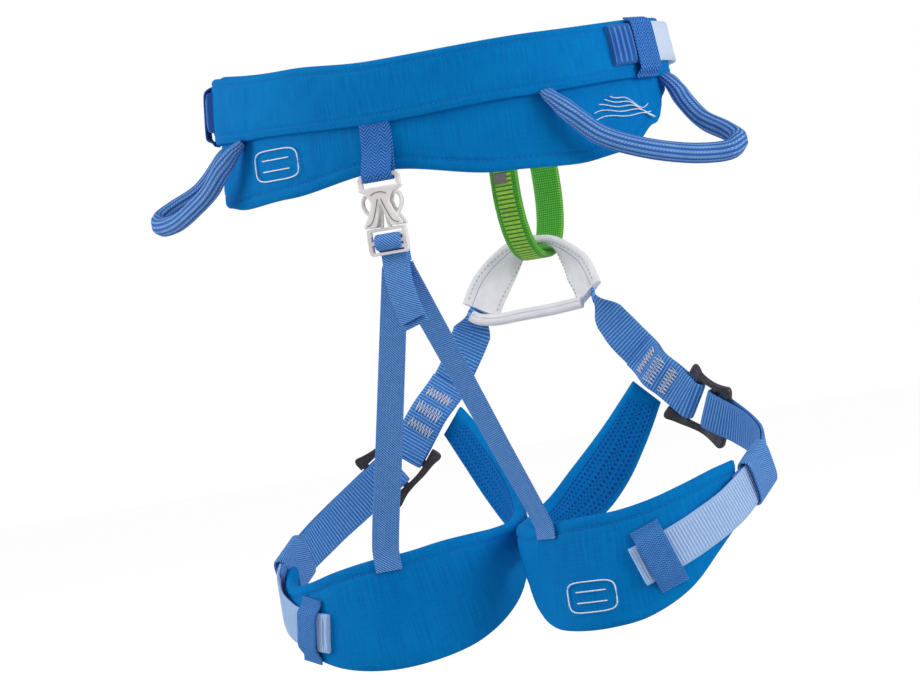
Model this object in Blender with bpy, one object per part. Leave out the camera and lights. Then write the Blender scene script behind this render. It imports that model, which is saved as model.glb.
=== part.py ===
"""A child's climbing sit harness, standing in the shape that it has when worn.

The wearer faces +Y, +X is the wearer's right and +Z is up. The origin is the seat of the belay loop, on the
inner face of its lower bend, where a connector hangs.

Every piece is drawn in pattern millimetres about the wearer: x and y from the waist's axis, z from the
mid-height of the harness. place() turns those into row-frame metres.
"""

import math

import bmesh
import bpy
from mathutils import Vector

# Driving dimensions, in pattern millimetres and degrees.
SIZE = 1.08  # grows the pattern to the real size, a 63 cm waist
WAIST_HALF_WIDTH = 115.0
WAIST_HALF_DEPTH = 82.5
WAIST_PAD_END = 97.0  # degrees round from the back's centre
# (turn, z) along the back pad, from its left end to its right end.
BAND_TOP = [(-97, 148.0), (-75, 147.0), (-24, 142.0), (0, 139.0), (45, 141.3), (97, 143.5)]
BAND_BOTTOM = [(-97, 113.5), (-75, 113.5), (-38, 111.2), (0, 108.5), (38, 111.2), (75, 113.5), (97, 113.5)]
PAD_BOTTOM = [(-97, 118.0), (-90, 104.0), (-80, 91.0), (-66, 80.5), (-50, 78.0), (-30, 79.5), (0, 85.7)]
PAD_BOTTOM += [(30, 77.0), (50, 75.6), (66, 78.8), (80, 90.5), (90, 104.0), (97, 118.0)]
HIP_FLARE = 4.5  # how much wider the oval is 40 mm below the belt's middle
BELT_LIFT = 2.0
BELT_TILT = 0.02
STRAP_HEIGHT = [(0, 127.5), (45, 128.8), (90, 130.3)]

THIGH_X = 65.5
THIGH_Y = 17.0
THIGH_HALF_WIDTH = 62.5
THIGH_HALF_DEPTH = 62.5

WEBBING = 20.0
WEBBING_THICK = 1.5
ELASTIC = 13.5
ELASTIC_THICK = 1.0
ANCHOR_STRAP = 16.0
BELAY_WEBBING = 15.5
BELAY_THICK = 3.4

BELAY_Y = 93.5
BELAY_LOW = 40.4  # inner face of the lower bend
BELAY_HIGH = 113.4  # inner face of the upper bend
BELAY_HALF_DEPTH = 26.5
REAR_Y = -89.5

ORIGIN = Vector((0.0, BELAY_Y, BELAY_LOW))
SIDES = (("left", -1), ("right", 1))

COLOURS = {
    "pad_fabric": ((0.006, 0.150, 0.560, 1), 0.75, 0.0),
    "pad_mesh": ((0.004, 0.110, 0.450, 1), 0.85, 0.0),
    "foam": ((0.700, 0.720, 0.740, 1), 0.90, 0.0),
    "webbing": ((0.060, 0.200, 0.650, 1), 0.65, 0.0),
    "elastic": ((0.040, 0.150, 0.520, 1), 0.75, 0.0),
    "belay_webbing": ((0.100, 0.480, 0.030, 1), 0.60, 0.0),
    "white_webbing": ((0.720, 0.720, 0.740, 1), 0.65, 0.0),
    "buckle_steel": ((0.035, 0.036, 0.040, 1), 0.35, 1.0),
    "buckle_plastic": ((0.620, 0.580, 0.560, 1), 0.45, 0.0),
    "tube_plastic": ((0.080, 0.110, 0.200, 1), 0.50, 0.0),
}


# ---------------------------------------------------------------- mesh tools


def place(point):
    """Pattern millimetres to row-frame metres."""
    return (Vector(point) - ORIGIN) * (SIZE * 0.001)


def material(name):
    found = bpy.data.materials.get(name)
    if found:
        return found
    colour, roughness, metallic = COLOURS[name]
    made = bpy.data.materials.new(name)
    made.use_nodes = True
    shader = made.node_tree.nodes["Principled BSDF"]
    shader.inputs["Base Color"].default_value = colour
    shader.inputs["Roughness"].default_value = roughness
    shader.inputs["Metallic"].default_value = metallic
    return made


def add_object(name, points, faces, finish, pivot=(0, 0, 0)):
    """A mesh object with its origin at the pivot, given in pattern millimetres, and faces pointing out."""
    home = place(pivot)
    mesh = bpy.data.meshes.new(name)
    mesh.from_pydata([place(p) - home for p in points], [], faces)
    shape = bmesh.new()
    shape.from_mesh(mesh)
    bmesh.ops.recalc_face_normals(shape, faces=shape.faces)
    if shape.calc_volume(signed=True) < 0:
        bmesh.ops.reverse_faces(shape, faces=shape.faces)
    shape.to_mesh(mesh)
    shape.free()
    mesh.materials.append(material(finish))
    mesh.set_sharp_from_angle(angle=math.radians(35))
    made = bpy.data.objects.new(name, mesh)
    made.location = home
    bpy.context.scene.collection.objects.link(made)
    return made


def loft(name, rings, finish, closed=False, pivot=(0, 0, 0)):
    """A closed body through rings of points. A ring runs along its outer row, then back along its inner."""
    size, count = len(rings[0]), len(rings)
    points = [p for ring in rings for p in ring]
    faces = []
    for i in range(count if closed else count - 1):
        here, there = i * size, (i + 1) % count * size
        for k in range(size):
            after = (k + 1) % size
            faces.append((here + k, here + after, there + after, there + k))
    if not closed:
        for start in (0, (count - 1) * size):
            for k in range(size // 2 - 1):
                faces.append((start + k, start + k + 1, start + size - 2 - k, start + size - 1 - k))
    return add_object(name, points, faces, finish, pivot)


def join(base, *others):
    """Boolean union of helper bodies into base."""
    for other in others:
        other.hide_render = True
        other.display_type = "WIRE"
        union = base.modifiers.new("Join_" + other.name, "BOOLEAN")
        union.operation = "UNION"
        union.object = other
    return base


def spline(keys, steps):
    """A smooth curve through the keys, as points evenly spaced in chord length."""
    keys = [Vector(k) for k in keys]
    knots = [0.0]
    for a, b in zip(keys, keys[1:]):
        knots.append(knots[-1] + (b - a).length)
    ends = [2 * keys[0] - keys[1]] + keys + [2 * keys[-1] - keys[-2]]
    found = []
    for i in range(steps + 1):
        at = knots[-1] * i / steps
        k = max(j for j in range(len(keys) - 1) if knots[j] <= at + 1e-9)
        span = knots[k + 1] - knots[k]
        u = min(1.0, (at - knots[k]) / span)
        before, start, end, after = ends[k : k + 4]
        lead = (end - before) * (span / max(1e-9, (end - start).length + (start - before).length))
        tail = (after - start) * (span / max(1e-9, (end - start).length + (after - end).length))
        found.append(
            start * (2 * u**3 - 3 * u**2 + 1)
            + lead * (u**3 - 2 * u**2 + u)
            + end * (3 * u**2 - 2 * u**3)
            + tail * (u**3 - u**2)
        )
    return found


def between(keys, at):
    """Smooth interpolation of (position, value) keys."""
    for (x0, y0), (x1, y1) in zip(keys, keys[1:]):
        if at <= x1:
            u = max(0.0, (at - x0) / (x1 - x0))
            return y0 + (y1 - y0) * u * u * (3 - 2 * u)
    return keys[-1][1]


def ribbon_rings(stations, width, thick, closed=False):
    """Rectangular sections for flat webbing. A station is (centre, width direction)."""
    rings, count = [], len(stations)
    for i, (centre, across) in enumerate(stations):
        if closed:
            tangent = stations[(i + 1) % count][0] - stations[i - 1][0]
        else:
            tangent = stations[min(i + 1, count - 1)][0] - stations[max(i - 1, 0)][0]
        tangent.normalize()
        across = (across - tangent * across.dot(tangent)).normalized()
        outward = tangent.cross(across)
        w = width(i / (count - 1)) if callable(width) else width
        side, up = across * w / 2, outward * thick / 2
        rings.append([centre - side + up, centre + side + up, centre + side - up, centre - side - up])
    return rings


def ribbon(name, stations, width, thick, finish, closed=False, pivot=(0, 0, 0)):
    return loft(name, ribbon_rings(stations, width, thick, closed), finish, closed, pivot)


def sheet(name, surface, low, high, steps, rows, inner, outer, finish, pivot=(0, 0, 0)):
    """A padded layer on surface(a, z, offset), between two edge curves of (a, z) points."""
    if len(low) == steps + 1:
        lows, highs = [Vector(p) for p in low], [Vector(p) for p in high]
    else:
        lows, highs = spline(low, steps), spline(high, steps)
    rings = []
    for lo, hi in zip(lows, highs):
        shares = [k / rows for k in range(rows + 1)]
        line = [lo.lerp(hi, s) for s in shares]
        ring = [surface(a, z, outer) for a, z, _ in line]
        ring += [surface(a, z, inner) for a, z, _ in reversed(line)]
        rings.append(ring)
    return loft(name, rings, finish, pivot=pivot)


def tube_rings(path, across_start, half_width, half_height, sides):
    """Oval sections along a path, for the gear loops' tubes."""
    rings, count = [], len(path)
    for i, centre in enumerate(path):
        tangent = (path[min(i + 1, count - 1)] - path[max(i - 1, 0)]).normalized()
        side = (across_start - tangent * across_start.dot(tangent)).normalized()
        up = tangent.cross(side)
        ring = []
        for k in range(sides):
            turn = 2 * math.pi * (k + 0.5) / sides
            ring.append(centre + side * half_width * math.cos(turn) + up * half_height * math.sin(turn))
        rings.append(ring)
    return rings


def lattice_plate(rows, cells, low_y, high_y, to_point):
    """A plate made of four columns of corners, -o, -i, +i and +o at each row. A row is (u, i, o), and a cell
    is present where cells[row] names it: "L", "M" or "R"."""
    points, index = [], {}

    def corner(row, column, y):
        key = (row, column, y)
        if key not in index:
            u, i, o = rows[row]
            index[key] = len(points)
            points.append(to_point(u, (-o, -i, i, o)[column], y))
        return index[key]

    faces = []
    names = "LMR"
    present = {(r, c) for r in range(len(rows) - 1) for c in range(3) if names[c] in cells[r]}
    for r, c in sorted(present):
        square = ((r, c), (r, c + 1), (r + 1, c + 1), (r + 1, c))
        for y in (low_y, high_y):
            faces.append([corner(a, b, y) for a, b in square])
        sides = (((r - 1, c), 0), ((r, c + 1), 1), ((r + 1, c), 2), ((r, c - 1), 3))
        for neighbour, edge in sides:
            if neighbour in present:
                continue
            a, b = square[edge], square[(edge + 1) % 4]
            faces.append([corner(*a, low_y), corner(*b, low_y), corner(*b, high_y), corner(*a, high_y)])
    return points, faces


# ------------------------------------------------------ the shapes it is worn on


def waist_point(turn, z, offset=0.0):
    """A point on the waist's oval, turned in degrees from the back's centre towards the wearer's right.
    The oval widens downwards at the hips, and the belt sits a little higher on the left."""
    t = math.radians(turn)
    normal = Vector((math.sin(t) / WAIST_HALF_WIDTH, -math.cos(t) / WAIST_HALF_DEPTH, 0)).normalized()
    widened = offset + HIP_FLARE * math.sin(t) ** 2 * (125.0 - z) / 40.0
    x, y = WAIST_HALF_WIDTH * math.sin(t), -WAIST_HALF_DEPTH * math.cos(t)
    return Vector((x, y, z + BELT_LIFT - BELT_TILT * x)) + normal * widened


def thigh_surface(side):
    """Thigh oval for one side. Turn is in degrees: 0 outward, 90 front, 180 inward and 270 back."""

    def point(turn, z, offset=0.0):
        a = math.radians(turn)
        normal = Vector((math.cos(a) / THIGH_HALF_WIDTH, math.sin(a) / THIGH_HALF_DEPTH, 0)).normalized()
        x = THIGH_X + THIGH_HALF_WIDTH * math.cos(a)
        y = THIGH_Y + THIGH_HALF_DEPTH * math.sin(a)
        spot = Vector((x, y, z)) + normal * offset
        return Vector((side * spot.x, spot.y, spot.z))

    return point


class Track:
    """A path that straps follow, with a width direction at each point, measured by arc length."""

    def __init__(self, points, normals):
        self.points = points
        self.lengths = [0.0]
        for a, b in zip(points, points[1:]):
            self.lengths.append(self.lengths[-1] + (b - a).length)
        self.normals = normals

    def frame(self, s):
        """(point, tangent, normal, across) at arc length s."""
        last = len(self.points) - 2
        k = max(0, min(last, sum(1 for length in self.lengths if length <= s) - 1))
        u = (s - self.lengths[k]) / (self.lengths[k + 1] - self.lengths[k])
        point = self.points[k].lerp(self.points[k + 1], u)
        tangent = (self.points[min(k + 2, last + 1)] - self.points[max(k - 1, 0)]).normalized()
        normal = self.normals[k].lerp(self.normals[k + 1], max(0.0, min(1.0, u)))
        normal = (normal - tangent * normal.dot(tangent)).normalized()
        return point, tangent, normal, normal.cross(tangent)

    def at(self, s, offset):
        point, _, normal, across = self.frame(s)
        return point + normal * offset, across

    def nearest(self, spot):
        """Arc length of the track's closest point to the spot."""
        best = (float("inf"), 0.0)
        for k, (a, b) in enumerate(zip(self.points, self.points[1:])):
            along = b - a
            u = max(0.0, min(1.0, (spot - a).dot(along) / along.length_squared))
            best = min(best, ((a + along * u - spot).length, self.lengths[k] + along.length * u))
        return best[1]


def layer(track, start, end, offset, steps):
    """Stations of a strap that runs along the track from start to end, offset(s) away from it."""
    return [
        track.at(start + (end - start) * i / steps, offset(start + (end - start) * i / steps))
        for i in range(steps + 1)
    ]


def bight(track, s_bar, radius, first_sign, reach, steps=6):
    """Stations of a strap's half turn round a bar that crosses the track at s_bar.
    reach is +1 if the turn bulges towards greater s, and first_sign says which face it starts on."""
    point, tangent, normal, across = track.frame(s_bar)
    stations = []
    for i in range(steps + 1):
        turn = math.pi * i / steps
        away = tangent * reach * math.sin(turn) + normal * first_sign * math.cos(turn)
        stations.append((point + away * radius, across))
    return stations


def hump(s_bar, near, far, spread=13.0):
    """An offset that is near at the bar and falls to far away from it."""
    return lambda s: far + (near - far) * math.exp(-(((s - s_bar) / spread) ** 2))


# ------------------------------------------------------------ the strap buckles

BAR_HELD = -7.5  # the bar inside the sewn bight, along the strap from the buckle's centre
BAR_TURNED = 4.5  # the bar that the running strap turns round
BUCKLE_HALF = 16.5
BUCKLE_THICK = 2.4
BIGHT_RADIUS = 3.0


def strap_buckle(name, track, s_centre, pivot_s):
    """A slotted steel frame with flared ends, curved as the strap is."""
    half_slot = WEBBING / 2 + 0.9

    def row(u):
        return (u, half_slot, half_slot + 3.0 + 3.4 * (u / BUCKLE_HALF) ** 2)

    rows = [row(u) for u in (-BUCKLE_HALF, -9.0, -6.0, 3.0, 6.0, 11.5, 15.0, BUCKLE_HALF)]
    cells = ["LR", "LMR", "LR", "LMR", "LR", "LMR", "LR"]

    def to_point(u, v, w):
        point, _, normal, across = track.frame(s_centre + u)
        return point + across * v + normal * w

    points, faces = lattice_plate(rows, cells, -BUCKLE_THICK / 2, BUCKLE_THICK / 2, to_point)
    pivot = track.frame(pivot_s)[0]
    return add_object(name, points, faces, "buckle_steel", pivot)


# -------------------------------------------------------------------- the waist

REAR_END = 45.0  # where the gear loops start, in degrees
FRONT_END = 88.0
WAIST_BUCKLE_TURN = 132.0
WAIST_TAIL_TIP = 68.5
WAIST_KEEPER = 79.0


def waist_pad():
    """Cover, foam and lining of the back pad, and the band's sleeve outside them. An odd number of steps
    leaves one facet of each layer square to the back."""
    steps = 35
    turns = [(-1 + 2 * i / steps) * WAIST_PAD_END for i in range(steps + 1)]
    low = [(t, between(PAD_BOTTOM, t), 0) for t in turns]
    high = [(t, between(BAND_TOP, t), 0) for t in turns]
    sheet("waist_pad_cover", waist_point, low, high, steps, 1, 0.0, 1.0, "pad_fabric")
    foam_low = [(t * 0.985, z + 2.0, 0) for t, z, _ in low]
    foam_high = [(t * 0.985, z - 2.0, 0) for t, z, _ in high]
    sheet("waist_pad_foam", waist_point, foam_low, foam_high, steps, 1, -4.0, -0.5, "foam")
    sheet("waist_pad_lining", waist_point, low, high, steps, 1, -5.6, -4.6, "pad_mesh")
    share = 1 - 1.0 / WAIST_PAD_END
    sleeve_low = [(t * share, between(BAND_BOTTOM, t), 0) for t in turns]
    sleeve_high = [(t * share, z - 1.0, 0) for t, z, _ in high]
    sheet("waist_band_sleeve", waist_point, sleeve_low, sleeve_high, steps, 1, 3.6, 4.5, "pad_fabric")


def strap_point(turn, offset):
    """A point on the middle of the waist strap's line."""
    back_turn = abs((turn + 180) % 360 - 180)
    return waist_point(turn, between(STRAP_HEIGHT, back_turn), offset)


def strap_line(start, end, step):
    """The waist strap's line from one turn to another, in degrees."""
    count = round((end - start) / step)
    points, normals = [], []
    for i in range(count + 1):
        turn = start + step * i
        height = strap_point(turn, 0.0).z
        points.append(strap_point(turn, 2.3))
        along = strap_point(turn + 1, 0) - strap_point(turn - 1, 0)
        upward = waist_point(turn, height + 1) - waist_point(turn, height - 1)
        normals.append(along.cross(upward).normalized())
    return Track(points, normals)


def waist_straps(track):
    """The running strap from tail to tail, the front strap with its sewn bights, and the two buckles."""
    arc = track.nearest
    centre = {side: arc(strap_point(side * WAIST_BUCKLE_TURN, 0)) for _, side in SIDES}
    tip = {side: arc(strap_point(side * WAIST_TAIL_TIP, 0)) for _, side in SIDES}
    stations = []
    # Towards the front, arc length falls on the left side and grows on the right side.
    bar = {side: centre[side] - side * BAR_TURNED for _, side in SIDES}
    left, right = bar[-1], bar[1]
    tail_offset = 3.9
    over = lambda s_bar: hump(s_bar, BIGHT_RADIUS, tail_offset, 22.0)
    under = lambda s_bar: hump(s_bar, -BIGHT_RADIUS, 0.0, 22.0)
    stations += layer(track, tip[-1], left + 2, over(left), 12)
    stations += bight(track, left, BIGHT_RADIUS, 1, -1)
    stations += layer(track, left + 2, right - 2, lambda s: under(left)(s) + under(right)(s), 52)
    stations += reversed(bight(track, right, BIGHT_RADIUS, 1, 1))
    stations += layer(track, right - 2, tip[1], over(right), 12)
    ribbon("waist_strap", stations, WEBBING, WEBBING_THICK, "webbing")
    held = {side: centre[side] - side * BAR_HELD for _, side in SIDES}
    for name, side in SIDES:
        strap_buckle_on_waist(name, side, track, centre[side], held[side])
    front_strap(track, held)


def strap_buckle_on_waist(name, side, track, s_centre, s_held):
    """The buckle's held bar faces the front, so the frame is turned end for end on the right side."""
    if side > 0:
        flipped = Track(list(reversed(track.points)), list(reversed(track.normals)))
        total = track.lengths[-1]
        strap_buckle(f"waist_buckle_{name}", flipped, total - s_centre, total - s_held)
    else:
        strap_buckle(f"waist_buckle_{name}", track, s_centre, s_held)


def front_strap(track, held):
    """Strap across the front, folded round both buckles' bars, with the folds' ends on its inner face."""
    front = strap_line(120, 240, 2.5)
    spots = {side: track.frame(held[side])[0] for side in held}
    s_left, s_right = front.nearest(spots[-1]), front.nearest(spots[1])
    if s_left > s_right:
        s_left, s_right = s_right, s_left
    fold = 19.0
    over_left = hump(s_left, BIGHT_RADIUS, 0.95, 8.0)
    over_right = hump(s_right, BIGHT_RADIUS - 0.95, 0.0, 8.0)
    over = lambda s: over_left(s) + over_right(s)
    under_left = hump(s_left, -BIGHT_RADIUS, -0.95, 8.0)
    under_right = hump(s_right, -BIGHT_RADIUS, -0.95, 8.0)
    stations = layer(front, s_left + fold, s_left + 1.5, under_left, 5)
    stations += bight(front, s_left, BIGHT_RADIUS, -1, -1)
    stations += layer(front, s_left + 1.5, s_right - 1.5, over, 20)
    stations += bight(front, s_right, BIGHT_RADIUS, 1, 1)
    stations += layer(front, s_right - 1.5, s_right - fold, under_right, 5)
    ribbon("waist_front_strap", stations, WEBBING, WEBBING_THICK, "webbing")


def waist_tie_in():
    """The loop that hangs from the front strap and carries the belay loop. It lies flat on the strap at both
    ends and turns edge on below it."""
    half = [(-24, 88.0, 141), (-23, 88.4, 130), (-19, 90.3, 119), (-10, BELAY_Y, 110.0), (0, BELAY_Y, 108.0)]
    keys = half + [(-x, y, z) for x, y, z in reversed(half[:-1])]
    stations = []
    for p in spline(keys, 28):
        turn = math.radians(90) * min(1.0, max(0.0, (p.z - 110) / 14))
        across = Vector((math.copysign(math.sin(turn), p.x), math.cos(turn), 0))
        stations.append((p, across))
    ribbon("waist_tie_in_loop", stations, 12.0, 3.0, "white_webbing")


def waist_keepers():
    """Elastic hoops that hold the strap's tails on the band."""
    outer = [(115.4, 4.9), (116.8, 8.9), (142.5, 8.9), (144.0, 4.9)]
    inner = [(142.6, 4.9), (141.7, 7.9), (117.6, 7.9), (116.6, 4.9)]
    for name, side in SIDES:
        rings = []
        for turn in (WAIST_KEEPER - 4.5, WAIST_KEEPER, WAIST_KEEPER + 4.5):
            rings.append([waist_point(side * turn, z, offset) for z, offset in outer + inner])
        loft(f"waist_keeper_{name}", rings, "elastic")


# ------------------------------------------------------------------ gear loops

GEAR_SHEATH = (4.8, 4.4)  # its half height and half width
GEAR_CORE = (3.0, 2.6)
GEAR_DROP = {"left": 0.74, "right": 0.90}  # how far each loop sags
GEAR_OUT = {"left": 0.89, "right": 1.0}  # how far each loop stands out


def gear_loops():
    for name, side in SIDES:
        rear = waist_point(side * REAR_END, 105.5, 7.2)
        front = waist_point(side * FRONT_END, 107.5, 7.2)
        chord = (front - rear).normalized()
        out = Vector((side * abs(chord.y), -abs(chord.x), 0)).normalized()
        mid = (rear + front) / 2

        def spot(along, outward, down):
            return mid + chord * along + out * outward * GEAR_OUT[name] - Vector((0, 0, down * GEAR_DROP[name]))

        reach = (front - rear).length / 2
        keys = [
            spot(-reach, 1, -2),
            spot(-reach + 4, 7.5, 8),
            spot(-reach + 13, 15, 21),
            spot(-7, 24, 31),
            spot(12, 31, 37.5),
            spot(26, 37, 40),
            spot(33.5, 41, 39.5),
            spot(38.6, 40.5, 35.5),
            spot(40, 32, 30),
            spot(39, 16, 21),
            spot(reach + 2, 6, 9),
            spot(reach, 1, -2),
        ]
        path = spline(keys, 22)
        across = Vector((0, 0, 1))
        outer = tube_rings(path, across, *GEAR_SHEATH, 8)
        inner = tube_rings(path, across, GEAR_SHEATH[0] - 1.0, GEAR_SHEATH[1] - 1.0, 8)
        hinge = mid + Vector((0, 0, 2))
        hollow(f"gear_loop_{name}", outer, inner, "webbing", hinge)
        core = tube_rings(path[1:-1], across, *GEAR_CORE, 6)
        loft(f"gear_loop_core_{name}", core, "tube_plastic", pivot=hinge)


def hollow(name, outer, inner, finish, pivot):
    """An open-ended tube between two sets of rings."""
    size, count = len(outer[0]), len(outer)
    points = [p for ring in outer for p in ring] + [p for ring in inner for p in ring]
    shift = size * count
    faces = []
    for i in range(count - 1):
        for k in range(size):
            a, b = i * size + k, i * size + (k + 1) % size
            faces.append((a, b, b + size, a + size))
            faces.append((a + shift, a + size + shift, b + size + shift, b + shift))
    for start in (0, (count - 1) * size):
        for k in range(size):
            a, b = start + k, start + (k + 1) % size
            faces.append((a, b, b + shift, a + shift))
    return add_object(name, points, faces, finish, pivot)


# ------------------------------------------------- belay loop and the legs' yoke


def belay_loop():
    """An oval ring of webbing in the plane of symmetry, with a flat seat at its lowest point, and the sewn
    tab that closes it on its rear strand."""
    high, low = BELAY_HIGH, BELAY_LOW
    mid, half = (high + low) / 2, (high - low) / 2
    count, power = 30, 2 / 2.3
    flat = math.cos(math.pi / count) ** power  # brings the lowest facet's inner face down to BELAY_LOW
    stations = []
    for i in range(count):
        a = 2 * math.pi * (i + 0.5) / count - math.pi / 2
        c, s = math.cos(a), math.sin(a)
        y = BELAY_Y + (BELAY_HALF_DEPTH + BELAY_THICK / 2) * math.copysign(abs(c) ** power, c)
        z = mid + (half + BELAY_THICK / 2) * math.copysign(abs(s) ** power, s) / flat
        stations.append((Vector((0, y, z)), Vector((1, 0, 0))))
    pivot = (0, BELAY_Y, 108.0)
    ribbon("belay_loop", stations, BELAY_WEBBING, BELAY_THICK, "belay_webbing", True, pivot)
    tab = []
    for i in range(6):
        z = 88.0 - 4.4 * i
        share = abs((z - mid) / (half + BELAY_THICK / 2)) ** 2.3
        y = BELAY_Y - (BELAY_HALF_DEPTH + BELAY_THICK + 1.3) * (1 - share) ** (1 / 2.3)
        tab.append((Vector((0, y - 0.3, z)), Vector((1, 0, 0))))
    ribbon("belay_loop_tab", tab, 11.0, 1.2, "belay_webbing", pivot=pivot)


def yoke():
    """The sheathed strap that joins the two leg loops through the belay loop, and the tie below it."""
    half = [(-31, 80, 15.0), (-27.5, 84.5, 26.0), (-19.5, 89.5, 37.6), (-10, 92.7, 44.8), (0, BELAY_Y, 47.0)]
    keys = half + [(-x, y, z) for x, y, z in reversed(half[:-1])]
    path = spline(keys, 24)
    stations = []
    for p in path:
        share = min(1.0, abs(p.x) / 24)
        turn = math.radians(70) * share**1.4
        flat, upright = Vector((0, -1, 0)), Vector((math.copysign(0.77, p.x), 0, 0.63))
        stations.append((p, flat * math.cos(turn) + upright * math.sin(turn)))
    ends = lambda u: 14.5 + 4.5 * min(1.0, abs(2 * u - 1) * 1.5)
    ribbon("leg_yoke_sheath", stations, ends, 3.8, "white_webbing")
    tie = spline([(-25, 80, 9.0), (-10, 81, 9.5), (8, 81, 9.8), (24, 80, 9.5)], 10)
    ribbon("leg_yoke_tie", [(p, Vector((0, 0.5, 1))) for p in tie], 5.2, 3.0, "white_webbing")


# -------------------------------------------------------------- the leg loops

# (turn, z) of the pads' edges, from the front end round the inner thigh and the back to the outer end.
# The two legs are worn a little differently, so the lower inner edge and the outer end differ.
FRONT_LOW = [(94, -46), (104, -65), (116, -84), (130, -98), (150, -107)]
FRONT_HIGH = [(106, -33), (125, -55), (143, -72), (160, -85), (180, -92), (197, -94), (212, -94.5)]
FRONT_HIGH += [(228, -95.5)]
PAD_LOW = {
    "left": [(170, -117), (188, -132), (204, -142), (220, -149), (240, -153.5), (260, -155), (282, -152.5)]
    + [(300, -147), (318, -139), (335, -129), (350, -120)],
    "right": [(172, -107.5), (190, -110), (203, -112.5), (215, -123), (226, -137.5), (236, -145)]
    + [(250, -147.5), (270, -147.5), (288, -144.5), (308, -134.5), (325, -119), (342, -106.5)],
}
PAD_HIGH = {
    "left": [(245, -98), (262, -99.5), (282, -103), (300, -107), (318, -108.5), (335, -105.5), (350, -100)],
    "right": [(245, -93.5), (262, -92.5), (280, -91.5), (296, -88.5), (312, -83.5), (328, -77.5), (342, -72)],
}
# (turn, z, distance from the pad) of the running strap, from the pad's front end to the tail's tip.
STRAP_LINE = {
    "left": [(91, -33, -8.5), (84, -41, -9.0), (77, -49, -9.0), (71, -55.5, -8.5), (60, -63, -6.5)]
    + [(45, -73.5, -3.5), (27, -86, 0.0), (8, -98, 2.0), (-10, -108, 2.7), (-28, -118, 2.4)]
    + [(-45, -126, 1.5), (-60, -130.5, 1.3), (-74, -133.5, 1.3)],
    "right": [(92, -29, -8.5), (85, -35, -9.0), (78, -41.5, -9.0), (72, -46.5, -8.5), (60, -54, -6.5)]
    + [(45, -62.5, -3.5), (27, -71.5, 0.0), (8, -79.5, 2.0), (-10, -87.5, 2.7), (-28, -98.5, 2.4)]
    + [(-45, -110, 1.5), (-60, -119, 1.3), (-74, -125.5, 1.3)],
}
BUCKLE_SHIFT = {"left": 12.0, "right": 15.0}  # along the strap, from its third key
STRAP_LOOP = {"left": 2.5, "right": -5.5}  # turn of the loop at the pad's outer end
LEG_KEEPER = -61.5  # turn at which the tail is held
LEG_TAIL_TIP = -71.5
DROP_STRAP_TURN = {"left": 254.0, "right": 243.0}


def leg_track(name, side):
    """The strap's line from the yoke down over the buckle and round the outer thigh."""
    surface = thigh_surface(side)
    keys = [(32.8, 79.2, 12.0), (39, 79.4, 2.0), (47, 79.6, -10), (56, 79.6, -21.5)]
    forward = Vector((0, 1, 0))
    turned = (Vector((side * 0.75, 0.45, 0.3)), Vector((side * 0.3, 1, 0)), forward, forward)
    spots = [Vector((side * x, y, z)) for x, y, z in keys]
    normals = list(turned)
    for turn, z, offset in STRAP_LINE[name]:
        spots.append(surface(turn, z, offset))
        normals.append((surface(turn, z, 1.0) - surface(turn, z)).normalized())
    points = spline(spots, 160)
    smooth = [n.normalized() for n in spline_values(spots, normals, 160)]
    return Track(points, smooth)


def spline_values(spots, values, steps):
    """Values interpolated along the polyline of spots, at the same shares of its length as spline()."""
    knots = [0.0]
    for a, b in zip(spots, spots[1:]):
        knots.append(knots[-1] + (b - a).length)
    found = []
    for i in range(steps + 1):
        at = knots[-1] * i / steps
        k = max(j for j in range(len(spots) - 1) if knots[j] <= at + 1e-9)
        u = min(1.0, (at - knots[k]) / (knots[k + 1] - knots[k]))
        found.append(values[k].lerp(values[k + 1], u))
    return found


def leg_loop(name, side):
    surface = thigh_surface(side)
    hinge = (side * 29.0, 79.0, 16.0)
    low = [(a, z, 0) for a, z in FRONT_LOW + PAD_LOW[name]]
    high = [(a, z, 0) for a, z in FRONT_HIGH + PAD_HIGH[name]]
    sheet(f"leg_pad_cover_{name}", surface, low, high, 36, 3, 0.0, 1.0, "pad_fabric", hinge)
    sheet(f"leg_pad_lining_{name}", surface, low, high, 36, 3, -5.2, -4.2, "pad_mesh", hinge)
    inset_low = [(a, z + 2.0, 0) for a, z, _ in low]
    inset_high = [(a, z - 2.0, 0) for a, z, _ in high]
    for edge, start, end in ((inset_low, 2.0, -2.0), (inset_high, 0.5, -2.0)):
        edge[0] = (edge[0][0] + start, edge[0][1], 0)
        edge[-1] = (edge[-1][0] + end, edge[-1][1], 0)
    sheet(f"leg_pad_foam_{name}", surface, inset_low, inset_high, 36, 3, -3.6, -0.5, "foam", hinge)
    leg_straps(name, side, surface, hinge)


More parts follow.
